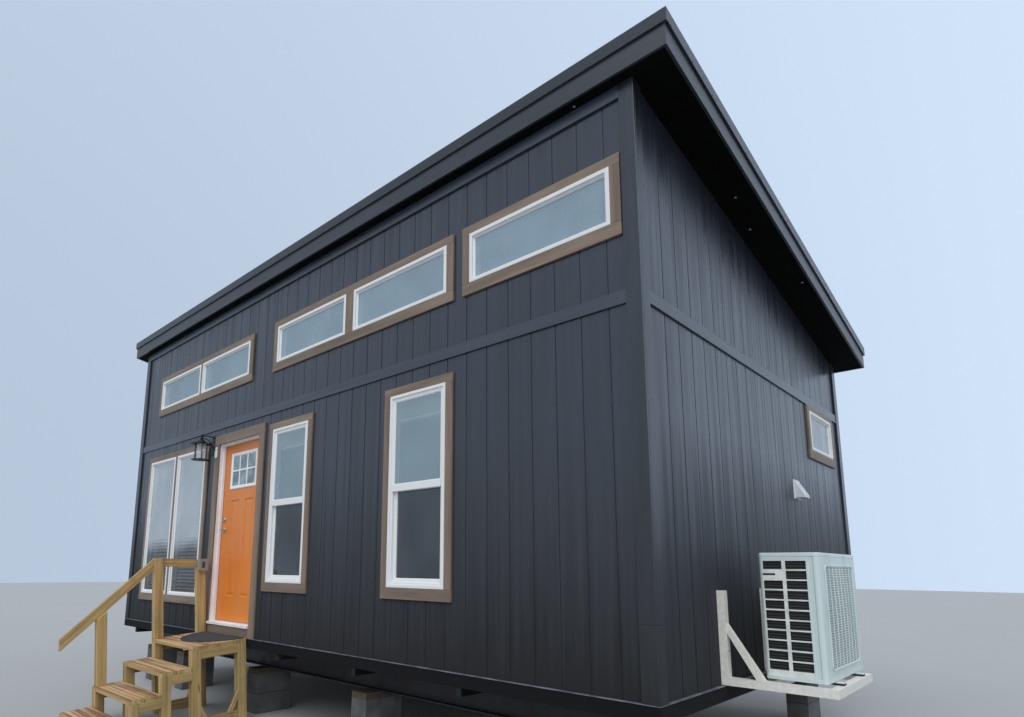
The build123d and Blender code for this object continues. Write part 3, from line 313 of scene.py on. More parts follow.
# Openings as (left, right, low, high), with left and right measured along
# their wall from its left end, or from the front on the end wall.
clerestory = [(length + x, length + x + 1.219, 3.699, 4.105)
              for x in (-7.295, -6.025, -4.202, -2.861, -1.393)]
tall = [(length + x, length + x + 0.813, 1.176, 2.960) for x in (-7.455, -6.578)]
hung = [(length + x, length + x + 0.652, 1.378, 2.960) for x in (-4.188, -2.292)]
end_window = (3.408, 4.174, 2.703, 3.101)
doorway = (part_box("door_frame")[0].x - west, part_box("door_frame")[1].x - west, band_low, 2.972)
# The sprayed paint lies thicker in the grooves of the two long walls.
long_wall, end_wall = ((length - 0.2135) % groove_step, 0.0042), (0.112, 0.0070)
panel_wall("front_panels", length, clerestory + tall + hung + [doorway], *long_wall, front_face,
           lambda u: roof_under(south) + 0 * u,
           ("front_wall_left", "front_wall_right", "front_wall_over"), 0.002)
panel_wall("rear_panels", length, [], *long_wall, rear_face, lambda u: roof_under(north) + 0 * u,
           ("rear_wall",), 0.002)
panel_wall("right_panels", width, [end_window], *end_wall, right_face, lambda u: roof_under(south + u),
           ("right_wall",), 0.003)
panel_wall("left_panels", width, [], *end_wall, left_face, lambda u: roof_under(south + u),
           ("left_wall",), 0.003)


# Trim: planed boards of the same engineered wood over the panel joints,
# painted with the walls. Each is eased along its edges and nailed flat.
def skinned(rings, capped=True):
    """Skin over rings of points, each joined to the next. The ends are closed
    with flat faces, or the last ring is joined back to the first."""
    n = np.arange(rings.shape[0] * rings.shape[1]).reshape(rings.shape[:2])
    m = n if capped else np.concatenate([n, n[:1]])
    across = np.roll(m, -1, 1)
    quads = np.stack([m[:-1], m[1:], across[1:], across[:-1]], -1).reshape(-1, 4)
    return rings.reshape(-1, 3), [*quads, n[0], n[-1]] if capped else [*quads]


def board(ends, ease=0.0025):
    """Sawn board lofted from one four-cornered end to the other. Each corner
    is cut back along both sides with a middle point a third of the way in,
    and the ends are drawn in by the same ease. Returns points, faces and
    the grain: metres along the board, and metres round it."""
    ends = np.asarray(ends, float)
    middle = ends.mean(1)
    span = np.linalg.norm(middle[1] - middle[0])
    axis = (middle[1] - middle[0]) / span
    rings = []
    for ring, centre in zip(ends, middle):
        before, after = np.roll(ring, 1, 0) - ring, np.roll(ring, -1, 0) - ring
        before = before / np.linalg.norm(before, axis=1)[:, None] * ease
        after = after / np.linalg.norm(after, axis=1)[:, None] * ease
        full = np.stack([ring + before, ring + (before + after) * 0.3, ring + after], 1).reshape(-1, 3)
        inward = (centre - full) / np.linalg.norm(centre - full, axis=1)[:, None] * ease
        rings.append((full, full + inward))
    (first, first_in), (last, last_in) = rings
    rings = np.stack([first_in, first + axis * ease, last - axis * ease, last_in])
    round_it = np.concatenate([[0], np.cumsum(np.linalg.norm(np.roll(first, -1, 0) - first, axis=1))])
    along = np.array((0, ease, span - ease, span))
    a, b = np.meshgrid(along[:-1], round_it[:-1], indexing="ij")
    c, d = np.meshgrid(along[1:], round_it[1:], indexing="ij")
    grain = np.stack([np.stack(pair, -1) for pair in ((a, b), (c, b), (c, d), (a, d))], 2).reshape(-1, 2)
    # On the cut ends the map is drawn out, so that the pattern turns into
    # broad soft rings.
    flat = rings[[0, 3]] - middle[:, None]
    cross = (ends[0, 1] - ends[0, 0]) / np.linalg.norm(ends[0, 1] - ends[0, 0])
    caps = np.stack([flat @ np.cross(axis, cross) * 6.0, flat @ cross * 0.4], -1).reshape(-1, 2)
    return *skinned(rings), np.concatenate([grain, caps])


def block(x, y, z, axis, ease=0.0025):
    """Straight board along axis 0, 1 or 2, given by its limits."""
    limits = np.array((x, y, z), float)
    u, v = [k for k in range(3) if k != axis]
    both = np.zeros((2, 4, 3))
    both[:, :, u], both[:, :, v] = limits[u][[0, 1, 1, 0]], limits[v][[0, 0, 1, 1]]
    both[0, :, axis], both[1, :, axis] = limits[axis]
    return board(both, ease)


# The same latex on planed boards, brushed: a little smoother than the
# panels, with fibres 6 mm wide and 0.25 m long along each board. Below
# 2.2 m every board is painted darker towards the foot: painted shade. On
# the belt and the frieze it is painted a touch paler: painted light. On
# the skirt band, all in that painted shade, splashed dirt has dulled it.
trim_paint, belt_paint, band_paint = [
    finish(name, {"fibre": ((4, 160, 1), 6, 0.3), "broad": ((0.8, 12, 1), 5), "height": None}, dark,
           [("broad", 0.35, 0.68, pale), ("height", 0.8, 2.2, "#08090b", 1, 0)],
           [("fibre", 0.3, 0.7, 0.22, 0.36), ("height", 0.8, 2.2, 0.55, 0)], ("fibre", 0.0012, 0.8),
           {"Specular IOR Level": gloss}, grained=True)
    for name, gloss, dark, pale in (("charcoal_latex_on_trim", 0.75, "#1c2027", "#2a2e38"),
                                    ("belt_latex_with_painted_light", 0.85, "#262c35", "#363d49"),
                                    ("splashed_latex_on_band_in_painted_shade", 0.25, "#1c2027", "#2a2e38"))]

# Corner boards: two planks to a corner, each 89 mm wide, in two lengths that
# meet at a joint near the foot, where the boards ran out.
trim_thick, corner_wide = 0.019, 0.089
corner_low, corner_joint, joint_gap, top_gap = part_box("corner_boards")[0].z, 1.230, 0.0015, 0.009
trim = []
for face, out in ((east, 1), (west, -1)):
    for y, back in ((south, -1), (north, 1)):
        x = sorted((face + out * trim_thick, face - out * corner_wide))
        thick = sorted((y, y + back * trim_thick))
        trim.append(block(x, thick, (corner_low, corner_joint), 2))
        trim.append(block(x, thick, (corner_joint + joint_gap, roof_under(max(thick)) - top_gap), 2))
        x, y = sorted((face, face + out * trim_thick)), sorted((y, y - back * corner_wide))
        trim.append(block(x, y, (corner_low, corner_joint), 2))
        ring = np.array([(x[0], y[0]), (x[1], y[0]), (x[1], y[1]), (x[0], y[1])])
        trim.append(board([np.column_stack([ring, np.full(4, corner_joint + joint_gap)]),
                           np.column_stack([ring, roof_under(ring[:, 1]) - top_gap])]))
put("corner_trim", trim, trim_paint, ("corner_boards",))

# Belt board over the panel joint at mid height, nailed on between the corner
# boards, and a frieze board under the eaves. On the long walls each is in two
# lengths.
belt_z, belt_thick, butt, corner_lap = (3.149, 3.238), 0.014, 0.001, 0.0895
frieze_low = {south: 4.556, north: roof_under(north) - 0.104}
run_x, run_y = (west + corner_lap, east - corner_lap), (south + corner_lap, north - corner_lap)
belts = [block(x, run_y, belt_z, 1) for x in ((east, east + belt_thick), (west - belt_thick, west))]
for x in ((run_x[0], (west + east) / 2 - butt), ((west + east) / 2, run_x[1])):
    for y in ((south - belt_thick, south), (north, north + belt_thick)):
        belts.append(block(x, y, belt_z, 0))
    for y, inner in ((south - trim_thick, south), (north, north)):
        z = (frieze_low[inner], roof_under(y + trim_thick) - 0.0125)
        belts.append(block(x, (y, y + trim_thick), z, 0))
put("belt_and_frieze", belts, belt_paint, ("wall_boards",))

# Skirt band round the foot of the walls, in three lengths on a long side.
band_z = (0.708, 0.800)
cuts = np.linspace(west - trim_thick, east + trim_thick, 4)
band = [block((a, b - butt), y, band_z, 0) for a, b in zip(cuts[:-1], cuts[1:])
        for y in ((south - trim_thick, south), (north, north + trim_thick))]
band += [block(x, (south + butt, north - butt), band_z, 1)
         for x in ((east, east + trim_thick), (west - trim_thick, west))]
put("skirt_band", band, band_paint, ("bottom_band",))


def coat(material, *names):
    """Gives solids of the frame their finish."""
    for name in names:
        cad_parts[name].data.materials.clear()
        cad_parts[name].data.materials.append(material)


# Bent galvanised steel over the band, dulled to grey in patches 0.1 m wide.
coat(finish("dulled_zinc_flashing", {"worn": (9, 4)}, "#666d77", [("worn", 0.4, 0.65, "#8f969f")], 0.42,
            0.0004, {"Metallic": 0.35}), "band_flashing")


# Roof: one sloping slab with a painted panel soffit, a fascia board below
# and a formed steel edge above it, screwed on along its lower hem.
# Flat black paint on rough plywood, with fibres 14 mm wide across the eave.
# Its colour is set near black as painted shade under the eave.
coat(finish("black_paint_on_soffit_with_painted_shade", {"fibre": ((70, 6, 70), 4)}, "#030304", "#08090a", 0.9, 0.0006,
            {"Specular IOR Level": 0.1}), "soffit")
# The walls' latex on the fascia boards, brushed along them: fibres 8 mm wide
# and 0.25 m long, and a tone that shifts every 0.4 m.
coat(finish("charcoal_latex_on_fascia", {"fibre": ((4, 120, 120), 6), "broad": ((0.9, 2.5, 8), 4)},
            "#1c1f24", [("broad", 0.35, 0.68, "#292d34")], [("fibre", 0.3, 0.7, 0.32, 0.46)], 0.0009,
            {"Specular IOR Level": 0.7}), "fascia_boards", "rake_boards")
# Roll-coated steel, bent on a brake: smooth charcoal paint with a fine grain
# of 16 mm, over sheet that waves a few millimetres every 0.6 m.
coat(finish("coated_steel_edge", {"waves": ((1.6, 1.6, 6), 2), "specks": (60, 4)}, "#25292e",
            [("specks", 0.5, 0.75, "#343940")], [("specks", 0.35, 0.7, 0.28, 0.44)],
            ("waves", 0.005, 0.5)), "edge_apron")
# Ceiling board under the slab, painted flat like the room, stippled at 8 mm.
coat(finish("flat_ceiling_paint", {"stipple": (120, 4)}, "#cbc8c1", "#d3d0c9", 0.85, 0.0004), "roof_deck")
# Rolled bitumen roofing with a mineral face: matt, gritty at 3 mm, clouded
# with dust over 0.8 m. The laps of the rolls stand 3 mm proud every 2 m.
membrane = finish("mineral_roof_felt", {"grit": (330, 3), "dust": (1.2, 6)}, "#44474b",
                  [("dust", 0.35, 0.7, "#56595c"), ("grit", 0.45, 0.75, "#6b6d6f", 0, 0.5)], 0.85, 0.0008)
coat(membrane, "roof_covering")
felt_low, felt_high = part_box("roof_covering")
lap_wide, lap_high, lap_in = 0.09, 0.003, 0.012
lap = ((0, -0.002), (lap_wide, -0.002), (lap_wide, lap_high), (0, lap_high))
put("roof_laps", [board([[(x + a, y, felt_high.z - roof_fall * (y - felt_low.y) + b) for a, b in lap]
                         for y in (felt_low.y + lap_in, felt_high.y - lap_in)], 0.0012)
                  for x in np.linspace(felt_low.x, felt_high.x, 5)[1:-1]], membrane)


def turned(outline, centre, axis=2, steps=20):
    """Turned piece: an outline of (radius, height) points is swept round an
    axis through the centre. Both ends close with a flat face."""
    outline = np.asarray(outline, float)
    angle = np.linspace(0, 2 * np.pi, steps, endpoint=False)
    u, v = [(1, 2), (2, 0), (0, 1)][axis]
    rings = np.zeros((len(outline), steps, 3))
    rings[..., u], rings[..., v] = outline[:, :1] * np.cos(angle), outline[:, :1] * np.sin(angle)
    rings[..., axis] = outline[:, 1:]
    return skinned(rings + centre)


# Screws with washers, 305 mm apart along the apron's hem at the front and
# the right, painted with it. At the rear and the left the hem is clipped.
# Their steel is satin, with a pitted face of 1 mm grains.
eave_front, eave_rear = south - 0.098, north + 0.181
apron_out, rake_out, hem_low, screw_step = 0.015, 0.285, 0.142, 0.305
washer = np.array([(0.0055, -0.0012), (0.0055, 0.0006), (0.0030, 0.0024)])
apron_face = eave_front - apron_out
screws = [turned(washer * (1, -1), (x, apron_face, roof_under(apron_face) + hem_low), 1, 8)
          for x in np.arange(west - 0.25, east + 0.27, screw_step)]
screws += [turned(washer, (east + rake_out + apron_out, y, roof_under(y) + hem_low), 0, 8)
           for y in np.arange(eave_front + 0.05, eave_rear, screw_step)]
put("edge_screws", screws, finish("painted_screw_heads", {"pits": (900, 2)}, "#1d2025", "#33373e", 0.4,
                                  0.0002, {"Metallic": 0.5}))

# A few bright washers hold the soffit panels, at the front and at the right:
# zinc-plated steel, dull, with a spangle 3 mm wide.
soffit_thick = 0.009
nail = [(0.002, 0.003), (0.011, 0.003), (0.010, -0.002), (0.003, -0.003)]
put("soffit_nails", [turned(nail, (x, y, roof_under(y) - soffit_thick), 2, 10)
                     for x, y in ((3.38, -1.67), (3.92, -0.25), (3.88, 0.17), (4.00, 1.13))],
    finish("zinc_plated_washers", {"spangle": ("TexVoronoi", 330)}, "#9a9ea2", "#c2c5c8", 0.35, 0.0001,
           {"Metallic": 0.7}))


# Windows: extruded white vinyl, mitred and welded at the corners, with a
# sloped glazing bead inside. The two hung ones have a sash set back below.
def mitred(opening, outline, place):
    """Frame round an opening: a closed outline of (inset, depth) points is
    carried round the four corners, each corner moved in by the inset along
    both sides, so neighbouring members meet in a mitre."""
    a, b, low, high = opening
    inset, depth = np.asarray(outline, float).T
    u = np.stack([a + inset, b - inset, b - inset, a + inset])
    z = np.stack([low + inset, low + inset, high - inset, high - inset])
    return skinned(place(u, depth[None, :] + 0 * u, z), capped=False)


# Rigid vinyl, white through and through: a soft gloss, flat to 0.5 mm, with
# a tone that shifts every 0.17 m and scuffs 4 mm wide that dull it.
vinyl = finish("white_vinyl_extrusion", {"mottled": (6, 4), "scuffs": (250, 4)}, "#e1e4e5", "#ebedee",
               [("scuffs", 0.3, 0.7, 0.26, 0.38)], 0.0005)
frame_outline = [(0.0, 0.060), (0.0, -0.019), (0.003, -0.022), (0.027, -0.022), (0.030, -0.020),
                 (0.031, -0.008), (0.034, -0.007), (0.045, 0.003), (0.046, 0.060)]
put("fixed_window_frames", [mitred(one, frame_outline, front_face) for one in clerestory + tall]
    + [mitred(end_window, frame_outline, right_face)], vinyl, ("fixed_frames",))

# The hung windows: an outer frame, a fixed upper pane, a meeting rail where
# the two panes pass each other, and the lower sash behind it.
hung_outline = [(0.0, 0.060), (0.0, -0.019), (0.003, -0.022), (0.024, -0.022), (0.026, -0.020),
                (0.027, -0.012), (0.041, -0.012), (0.046, -0.008), (0.046, 0.060)]
upper_outline = [(0.0, 0.008), (0.0, -0.010), (0.002, -0.011), (0.009, -0.011), (0.017, -0.004),
                 (0.017, 0.008)]
sash_outline = [(0.0, 0.036), (0.0, 0.012), (0.022, 0.012), (0.024, 0.013), (0.030, 0.020), (0.030, 0.036)]
rail_low, rail_high, reveal, sash_in, sash_top = 2.148, 2.208, 0.044, 0.046, 2.178
hung_parts = []
for a, b, low, high in hung:
    pane = (a + reveal, b - reveal, rail_high - 0.012, high - reveal)
    hung_parts += [mitred((a, b, low, high), hung_outline, front_face),
                   mitred(pane, upper_outline, front_face),
                   block((west + a + reveal, west + b - reveal), (south - 0.018, south + 0.012),
                         (rail_low, rail_high), 0, 0.004)]
put("hung_window_frames", hung_parts, vinyl, ("hung_frames",))
put("lower_sashes", [mitred((a + sash_in, b - sash_in, low + sash_in, sash_top), sash_outline, front_face)
                     for a, b, low, high in hung], vinyl, ("hung_sashes",))

# Low-e double glazing: float glass with a metal film, so it mirrors the sky
# more than plain glass and shows less of the room. It waves a little every
# 0.7 m, and dust and rain marks cloud it over 0.4 m. Its colour also holds a
# painted reflection: the panes are painted pale where they would mirror the
# sky and darker towards the foot, over 0.2 m and unevenly, where they would
# mirror the ground, and the lower sashes are painted darker than the panes
# over them.
for name, clear, foot, middle, pale, edge, line, coated in (
        ("low_e_fixed_glass", 0.46, "#131918", "#d8e5f0", "#aecadb", 1.80, 3.30, "fixed_glass"),
        ("low_e_hung_glass", 0.44, "#070a0c", "#151b1f", "#a3c0cc", 1.74, sash_top, "hung_glass")):
    window_glass, tree, where = start(name)
    height = add(tree, "SeparateXYZ", {0: where}).outputs[2]
    clouds = add(tree, "TexNoise", {"Vector": where, "Scale": 2.4, "Detail": 6.0})
    waver = add(tree, "TexNoise", {"Vector": where, "Scale": 1.5, "Detail": 1.0})
    uneven = add(tree, "MapRange", enumerate((clouds, 0.3, 0.7, -0.04, 0.04)))
    # Painted reflection: the dark foot tone, then the pale tones above it.
    tone = layered(tree, foot, [
        (add(tree, "Math", {0: height, 1: uneven}), edge - 0.10, edge + 0.10, middle),
        (height, line - 0.005, line + 0.005, pale), (clouds, 0.4, 0.7, "#74899a", 0, 0.25)])
    surface(tree, tone, 0.04, waver, 0.003, 0.35, {"Alpha": clear, "IOR": 2.3})
    coat(window_glass, coated)

# Blinds of white faux wood: 50 mm slats a little apart from level in the
# tall pair, and the same blind drawn up into a stack in the hung windows.
slat_wide, slat_thick, slat_step, slat_tilt, stack_step = 0.050, 0.003, 0.043, 0.55, 0.0065
arc = np.linspace(-0.5, 0.5, 5)
crown = 0.0035 * (1 - (2 * arc) ** 2)
shut = np.concatenate([np.stack([arc * slat_wide, crown], 1),
                       np.stack([arc[::-1] * slat_wide, crown[::-1] - slat_thick], 1)])
tilted = shut @ np.array(((np.cos(slat_tilt), np.sin(slat_tilt)), (-np.sin(slat_tilt), np.cos(slat_tilt))))
blind_y, blind_gap, rail_deep, rail_half = south + 0.085, 0.012, 0.018, 0.028
blinds = []
for (a, b, low, high), drawn_up in [(one, False) for one in tall] + [(one, True) for one in hung]:
    x0, x1 = west + a + blind_gap, west + b - blind_gap
    bottom = high - 0.212 if drawn_up else low + blind_gap
    levels = np.arange(high - 0.190, high - 0.060, stack_step) if drawn_up \
        else np.arange(low + 0.045, high - 0.075, slat_step)
    # A slat is its crowned outline carried straight along the window.
    y, up = (shut if drawn_up else tilted).T
    for z in levels:
        blinds.append(skinned(np.stack([np.column_stack([np.full(len(y), x), blind_y + y, z + up])
                                        for x in (x0, x1)])))
    for z in ((bottom, bottom + rail_deep), (high - 0.055, high - 0.004)):
        blinds.append(block((x0, x1), (blind_y - rail_half, blind_y + rail_half), z, 0, 0.003))
    for x in () if drawn_up else (x0 + 0.13, x1 - 0.13):
        blinds.append(block((x, x + 0.002), (blind_y - rail_half + 0.001, blind_y - rail_half + 0.0025),
                            (low + 0.02, high - 0.05), 2, 0.0004))
# Wood-filled plastic, cream white and satin, with a printed grain 3 mm wide
# and 0.3 m long.
put("window_slats", blinds, finish("faux_wood_slats", {"fibre": ((3, 300, 300), 4)}, "#e2e2dd", "#ececea",
                                   0.45, 0.0003), ("window_blinds",))

# Casings: flat boards of brown-stained trim, butt-jointed. The head and the
# sill run the full width and the side boards stand between them.
# Opaque brown stain on planed wood, nearly matt: fibres 7 mm wide and 0.3 m
# long stand out, and the tone shifts along each board every metre.
casing_paint = finish(
    "brown_stain_on_casing", {"fibre": ((3.5, 140, 1), 6, 0.3), "broad": ((0.9, 9, 1), 5)}, "#6d5e52",
    [("broad", 0.34, 0.68, "#8e7c6b"), ("fibre", 0.52, 0.72, "#54463c", 0, 0.5)],
    [("fibre", 0.3, 0.7, 0.46, 0.64)], ("fibre", 0.0010, 0.8), grained=True)
side_wide, head_high, sill_high, hair = 0.075, 0.068, 0.090, 0.0008
casing_y, casing_x = (south - trim_thick, south), (east, east + trim_thick)
casings = []
for group in (clerestory[0:2], clerestory[2:4], clerestory[4:5], tall, hung[0:1], hung[1:2]):
    x0, x1 = west + group[0][0], west + group[-1][1]
    low, high = group[0][2:]
    for z in ((high, high + head_high), (low - sill_high, low)):
        casings.append(block((x0 - side_wide, x1 + side_wide), casing_y, z, 0))
    for x in [(x0 - side_wide, x0), (x1, x1 + side_wide)] + [
            (west + p[1], west + q[0]) for p, q in zip(group[:-1], group[1:])]:
        casings.append(block(x, casing_y, (low + hair, high - hair), 2))
y0, y1, low, high = south + end_window[0], south + end_window[1], *end_window[2:]
for z in ((high, belt_z[0]), (low - sill_high, low)):
    casings.append(block(casing_x, (y0 - side_wide, y1 + side_wide), z, 1))
for y in ((y0 - side_wide, y0), (y1, y1 + side_wide)):
    casings.append(block(casing_x, y, (low + hair, high - hair), 2))
put("window_trim", casings, casing_paint, ("window_casings",))


# Door: a moulded fibreglass slab in burnt orange, hung in a white wooden
# frame, with a clipped-in six-part light and two long sunk panels.
low_door, high_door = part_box("door_slab")
play, case_wide, case_low = 0.005, 0.112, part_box("door_casing")[0].z
case_left, case_right, case_top = low_door.x - 2 * play, high_door.x + 2 * play, high_door.z + 2 * play
case_sides = ((case_left - case_wide, case_left), (case_right, case_right + case_wide))
put("door_trim", [*[block(x, casing_y, (case_low, case_top - hair), 2) for x in case_sides],
                  block((case_sides[0][0], case_sides[1][1]), casing_y, (case_top, case_top + case_wide), 0)],
    casing_paint, ("door_casing",))
put("under_sill_board", [block((case_left + butt, case_right - butt), casing_y, (case_low, floor_top), 0),
                         block((case_left + play - trim_thick, case_right - play + trim_thick),
                               (south, south + skin_thick), (band_low, floor_top), 0)],
    casing_paint, ("sill_board",))

# Oil-based gloss on a pine jamb: white, with brush marks 11 mm wide down it
# and hand grime in patches 0.25 m wide.
jamb_white = finish("white_gloss_on_jamb", {"brushed": ((90, 90, 5), 4), "grime": ((4, 4, 1.5), 6)},
                    "#f2f4f7", [("grime", 0.46, 0.76, "#dbdad8")], 0.32, 0.0004)
coat(jamb_white, "door_frame", "door_sill")

# Enamel over a fibreglass skin moulded with wood grain: strong orange, half
# gloss, fibres 12 mm wide, and paler and duller in colour towards the top.
door_paint = finish(
    "burnt_orange_door_enamel", {"embossed": ((85, 85, 3), 5, 0.5), "sunned": (1.4, 4), "height": None},
    "#dd7814", [("sunned", 0.35, 0.65, "#e4852a"), ("height", 1.4, 2.9, "#d08143", 0, 0.75)], 0.38,
    0.00035, {"Coat Weight": 0.1, "Coat Roughness": 0.2})
door_mid = (low_door.x + high_door.x) / 2
panel_low, panel_high, panel_half, panel_off = 1.208, 2.288, 0.095, 0.161
panels = [(door_mid + off - panel_half, door_mid + off + panel_half, panel_low, panel_high)
          for off in (-panel_off, panel_off)]
light_cut = (door_mid - 0.277, door_mid + 0.277, high_door.z - 0.514, high_door.z - 0.130)
# A sunk panel falls 9 mm within 12 mm of its edge and rises again to a field
# nearly level with the slab.
steps, sink = np.array((0.0, 0.004, 0.012, 0.026, 0.040)), (0.0, 0.006, 0.009, 0.008, 0.0020)
xs = grid_lines((low_door.x, high_door.x), light_cut[:2], *[a + steps for a, *_ in panels],
                *[b - steps for _, b, *_ in panels])
zs = grid_lines((low_door.z, high_door.z), light_cut[2:], panel_low + steps, panel_high - steps)
gx, gz = np.meshgrid(xs, zs, indexing="ij")
into = np.zeros_like(gx)
for a, b, low, high in panels:
    inside = np.minimum.reduce([gx - a, b - gx, gz - low, high - gz])
    into = np.maximum(into, np.where(inside > 0, np.interp(inside, steps, sink), 0))
leaf = cut_sheet(np.stack([gx, low_door.y + into, gz], -1), np.stack([gx, high_door.y - into, gz], -1),
                 open_cells(xs, zs, [light_cut]))[0]
put("door_leaf", [leaf], door_paint, ("door_slab",), "door")

# The light's frame is moulded plastic, clipped on from both sides and
# painted with the jamb, with two bars up and one across.
light = (door_mid - 0.295 - west, door_mid + 0.295 - west, high_door.z - 0.532, high_door.z - 0.112)
lip, bar_half, bar_proud, bar_under = 0.037, 0.010, 0.009, 0.0006
x0, x1, low, high = west + light[0] + lip, west + light[1] - lip, light[2] + lip, light[3] - lip
light_parts = []
for sign, y in ((1, low_door.y - south), (-1, high_door.y - south)):
    rim = [(0.0, y), (0.001, y - sign * 0.006), (0.006, y - sign * 0.009), (0.024, y - sign * 0.009),
           (0.036, y - sign * 0.003), (0.038, y)]
    light_parts.append(mitred(light, rim, front_face))
    deep = sorted((south + y - sign * bar_proud, south + y))
    for x in x0 + (x1 - x0) * np.array((1, 2)) / 3:
        light_parts.append(block((x - bar_half, x + bar_half), deep, (low, high), 2, 0.004))
    z = (low + high) / 2
    light_parts.append(block((x0, x1), (deep[0] + bar_under, deep[1] - bar_under),
                             (z - bar_half, z + bar_half), 0, 0.004))
put("door_light_frame", light_parts, jamb_white, ("door_lite_frame",), "door")

# Obscured glass, rolled with a ripple 30 mm wide: the room behind it is a
# soft grey-green blur, in patches 0.2 m wide.
coat(finish("rippled_door_glass", {"ripple": (30, 2), "behind": (5, 4)}, "#748991",
            [("behind", 0.4, 0.6, "#a9bcc3")], 0.12, 0.0015, {"Alpha": 0.8, "IOR": 1.6}), "door_glass")


# Lock set: satin nickel lever and deadbolt over turned roses, and three
# butt hinges of the same metal on the other side.
def tube(path, wide, high, up=(0, 0, 1), steps=12):
    """Bar with an oval section carried along a path: at each point the half
    width lies across the path and the half height along the up direction."""
    path = np.asarray(path, float)
    wide, high = np.broadcast_to(wide, len(path)), np.broadcast_to(high, len(path))
    run = np.gradient(path, axis=0)
    run = run / np.linalg.norm(run, axis=1)[:, None]
    across = np.cross(run, up)
    across = across / np.linalg.norm(across, axis=1)[:, None]
    rise = np.cross(across, run)
    angle = np.linspace(0, 2 * np.pi, steps, endpoint=False)
    return skinned(path[:, None] + across[:, None] * (wide[:, None] * np.cos(angle))[..., None]
                   + rise[:, None] * (high[:, None] * np.sin(angle))[..., None])


# Nickel plate, brushed with lines 1 mm apart: warm grey, softly mirrored.
nickel = finish("satin_nickel_plate", {"brushed": ((40, 40, 900), 4)}, "#aaa498", "#c4beb2",
                [("brushed", 0.3, 0.7, 0.24, 0.38)], 0.0001, {"Metallic": 1.0})
spindle_x, lever_z, bolt_z = low_door.x + 0.066, 1.953, 2.070
thumb_half, thumb_tall, thumb_out = 0.004, 0.018, (0.009, 0.028)
rose = np.array([(0.010, -0.001), (0.031, 0.0), (0.032, 0.003), (0.029, 0.0065), (0.018, 0.008),
                 (0.010, 0.008)])
hub = np.array([(0.006, -0.012), (0.006, 0.009), (0.011, 0.010), (0.0105, 0.030), (0.008, 0.044),
                (0.004, 0.047)])
bolt_face = np.array([(0.008, -0.001), (0.029, 0.0), (0.030, 0.003), (0.026, 0.015), (0.023, 0.0175),
                      (0.008, 0.018)])
bolt_rear = [(0.008, -0.001), (0.029, 0.0), (0.028, 0.008), (0.010, 0.010)]
# The lever is 118 mm long: it bows towards the door and back, and thins.
t, lever_long = np.linspace(0, 1, 16), 0.118
swell = np.sin(t * np.pi)
locks, levers = [], []
for sign, y in ((-1, low_door.y), (1, high_door.y)):
    locks.append(turned(rose * (1, sign), (spindle_x, y, lever_z), 1, 32))
    levers.append(turned(hub * (1, sign), (spindle_x, y, lever_z), 1, 24))
    bend = np.stack([spindle_x - 0.006 + lever_long * t, y + sign * (0.043 - 0.010 * swell + 0.004 * t),
                     lever_z - 0.006 * swell], -1)
    levers.append(tube(bend, 0.0055 - 0.0025 * t ** 4, 0.0105 - 0.0035 * t))
locks += [turned(bolt_face * (1, -1), (spindle_x, low_door.y, bolt_z), 1, 32),
          turned(bolt_rear, (spindle_x, high_door.y, bolt_z), 1, 32),
          block((spindle_x - thumb_half, spindle_x + thumb_half),
                (high_door.y + thumb_out[0], high_door.y + thumb_out[1]),
                (bolt_z - thumb_tall, bolt_z + thumb_tall), 2, 0.003)]
put("lock_set", locks, nickel, ("door_lock",), "door")
put("lever_handles", levers, nickel, ("door_lever",), "lever", smooth=True)
coat(nickel, "hinge_jamb_leaves", "hinge_door_leaves")


# Lantern: black painted steel, a wide spun brim over a cage of six bars
# round clear glass, hung from an arm and a scroll on a narrow wall plate.
glass_low, glass_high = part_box("lantern_glass")
lamp_x, lamp_y = (glass_low.x + glass_high.x) / 2, (glass_low.y + glass_high.y) / 2
lamp_low, lamp_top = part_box("lantern")[0].z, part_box("lantern")[1].z
base_z, brim_z = lamp_low + 0.012, lamp_top - 0.116
base_round, brim_round, cage_round, bar_round, bar_count = 0.104, 0.118, 0.070, 0.0045, 6
foot = [(0.012, -0.008), (0.050, -0.008), (base_round, -0.003), (base_round, 0.001), (0.078, 0.006),
        (0.020, 0.007)]
hood = [(0.020, -0.002), (brim_round, -0.004), (brim_round, 0.001), (0.080, 0.010), (0.052, 0.016),
        (0.046, 0.030), (0.032, 0.042), (0.012, 0.046), (0.010, 0.052), (0.020, 0.058), (0.019, 0.066),
        (0.008, 0.072), (0.007, 0.080), (0.016, 0.090), (0.016, 0.100), (0.008, 0.110), (0.004, 0.116)]
lamp_parts = [turned(outline, (lamp_x, lamp_y, z), steps=32)
              for outline, z in ((foot, base_z), (hood, brim_z))]
bar_z = np.linspace(base_z + 0.002, brim_z, 6)
for angle in np.pi / 4 + np.arange(bar_count) * 2 * np.pi / bar_count:
    bar = np.stack([lamp_x + cage_round * np.cos(angle) + 0 * bar_z,
                    lamp_y + cage_round * np.sin(angle) + 0 * bar_z, bar_z], -1)
    lamp_parts.append(tube(bar, bar_round, bar_round, (1, 0, 0), 8))
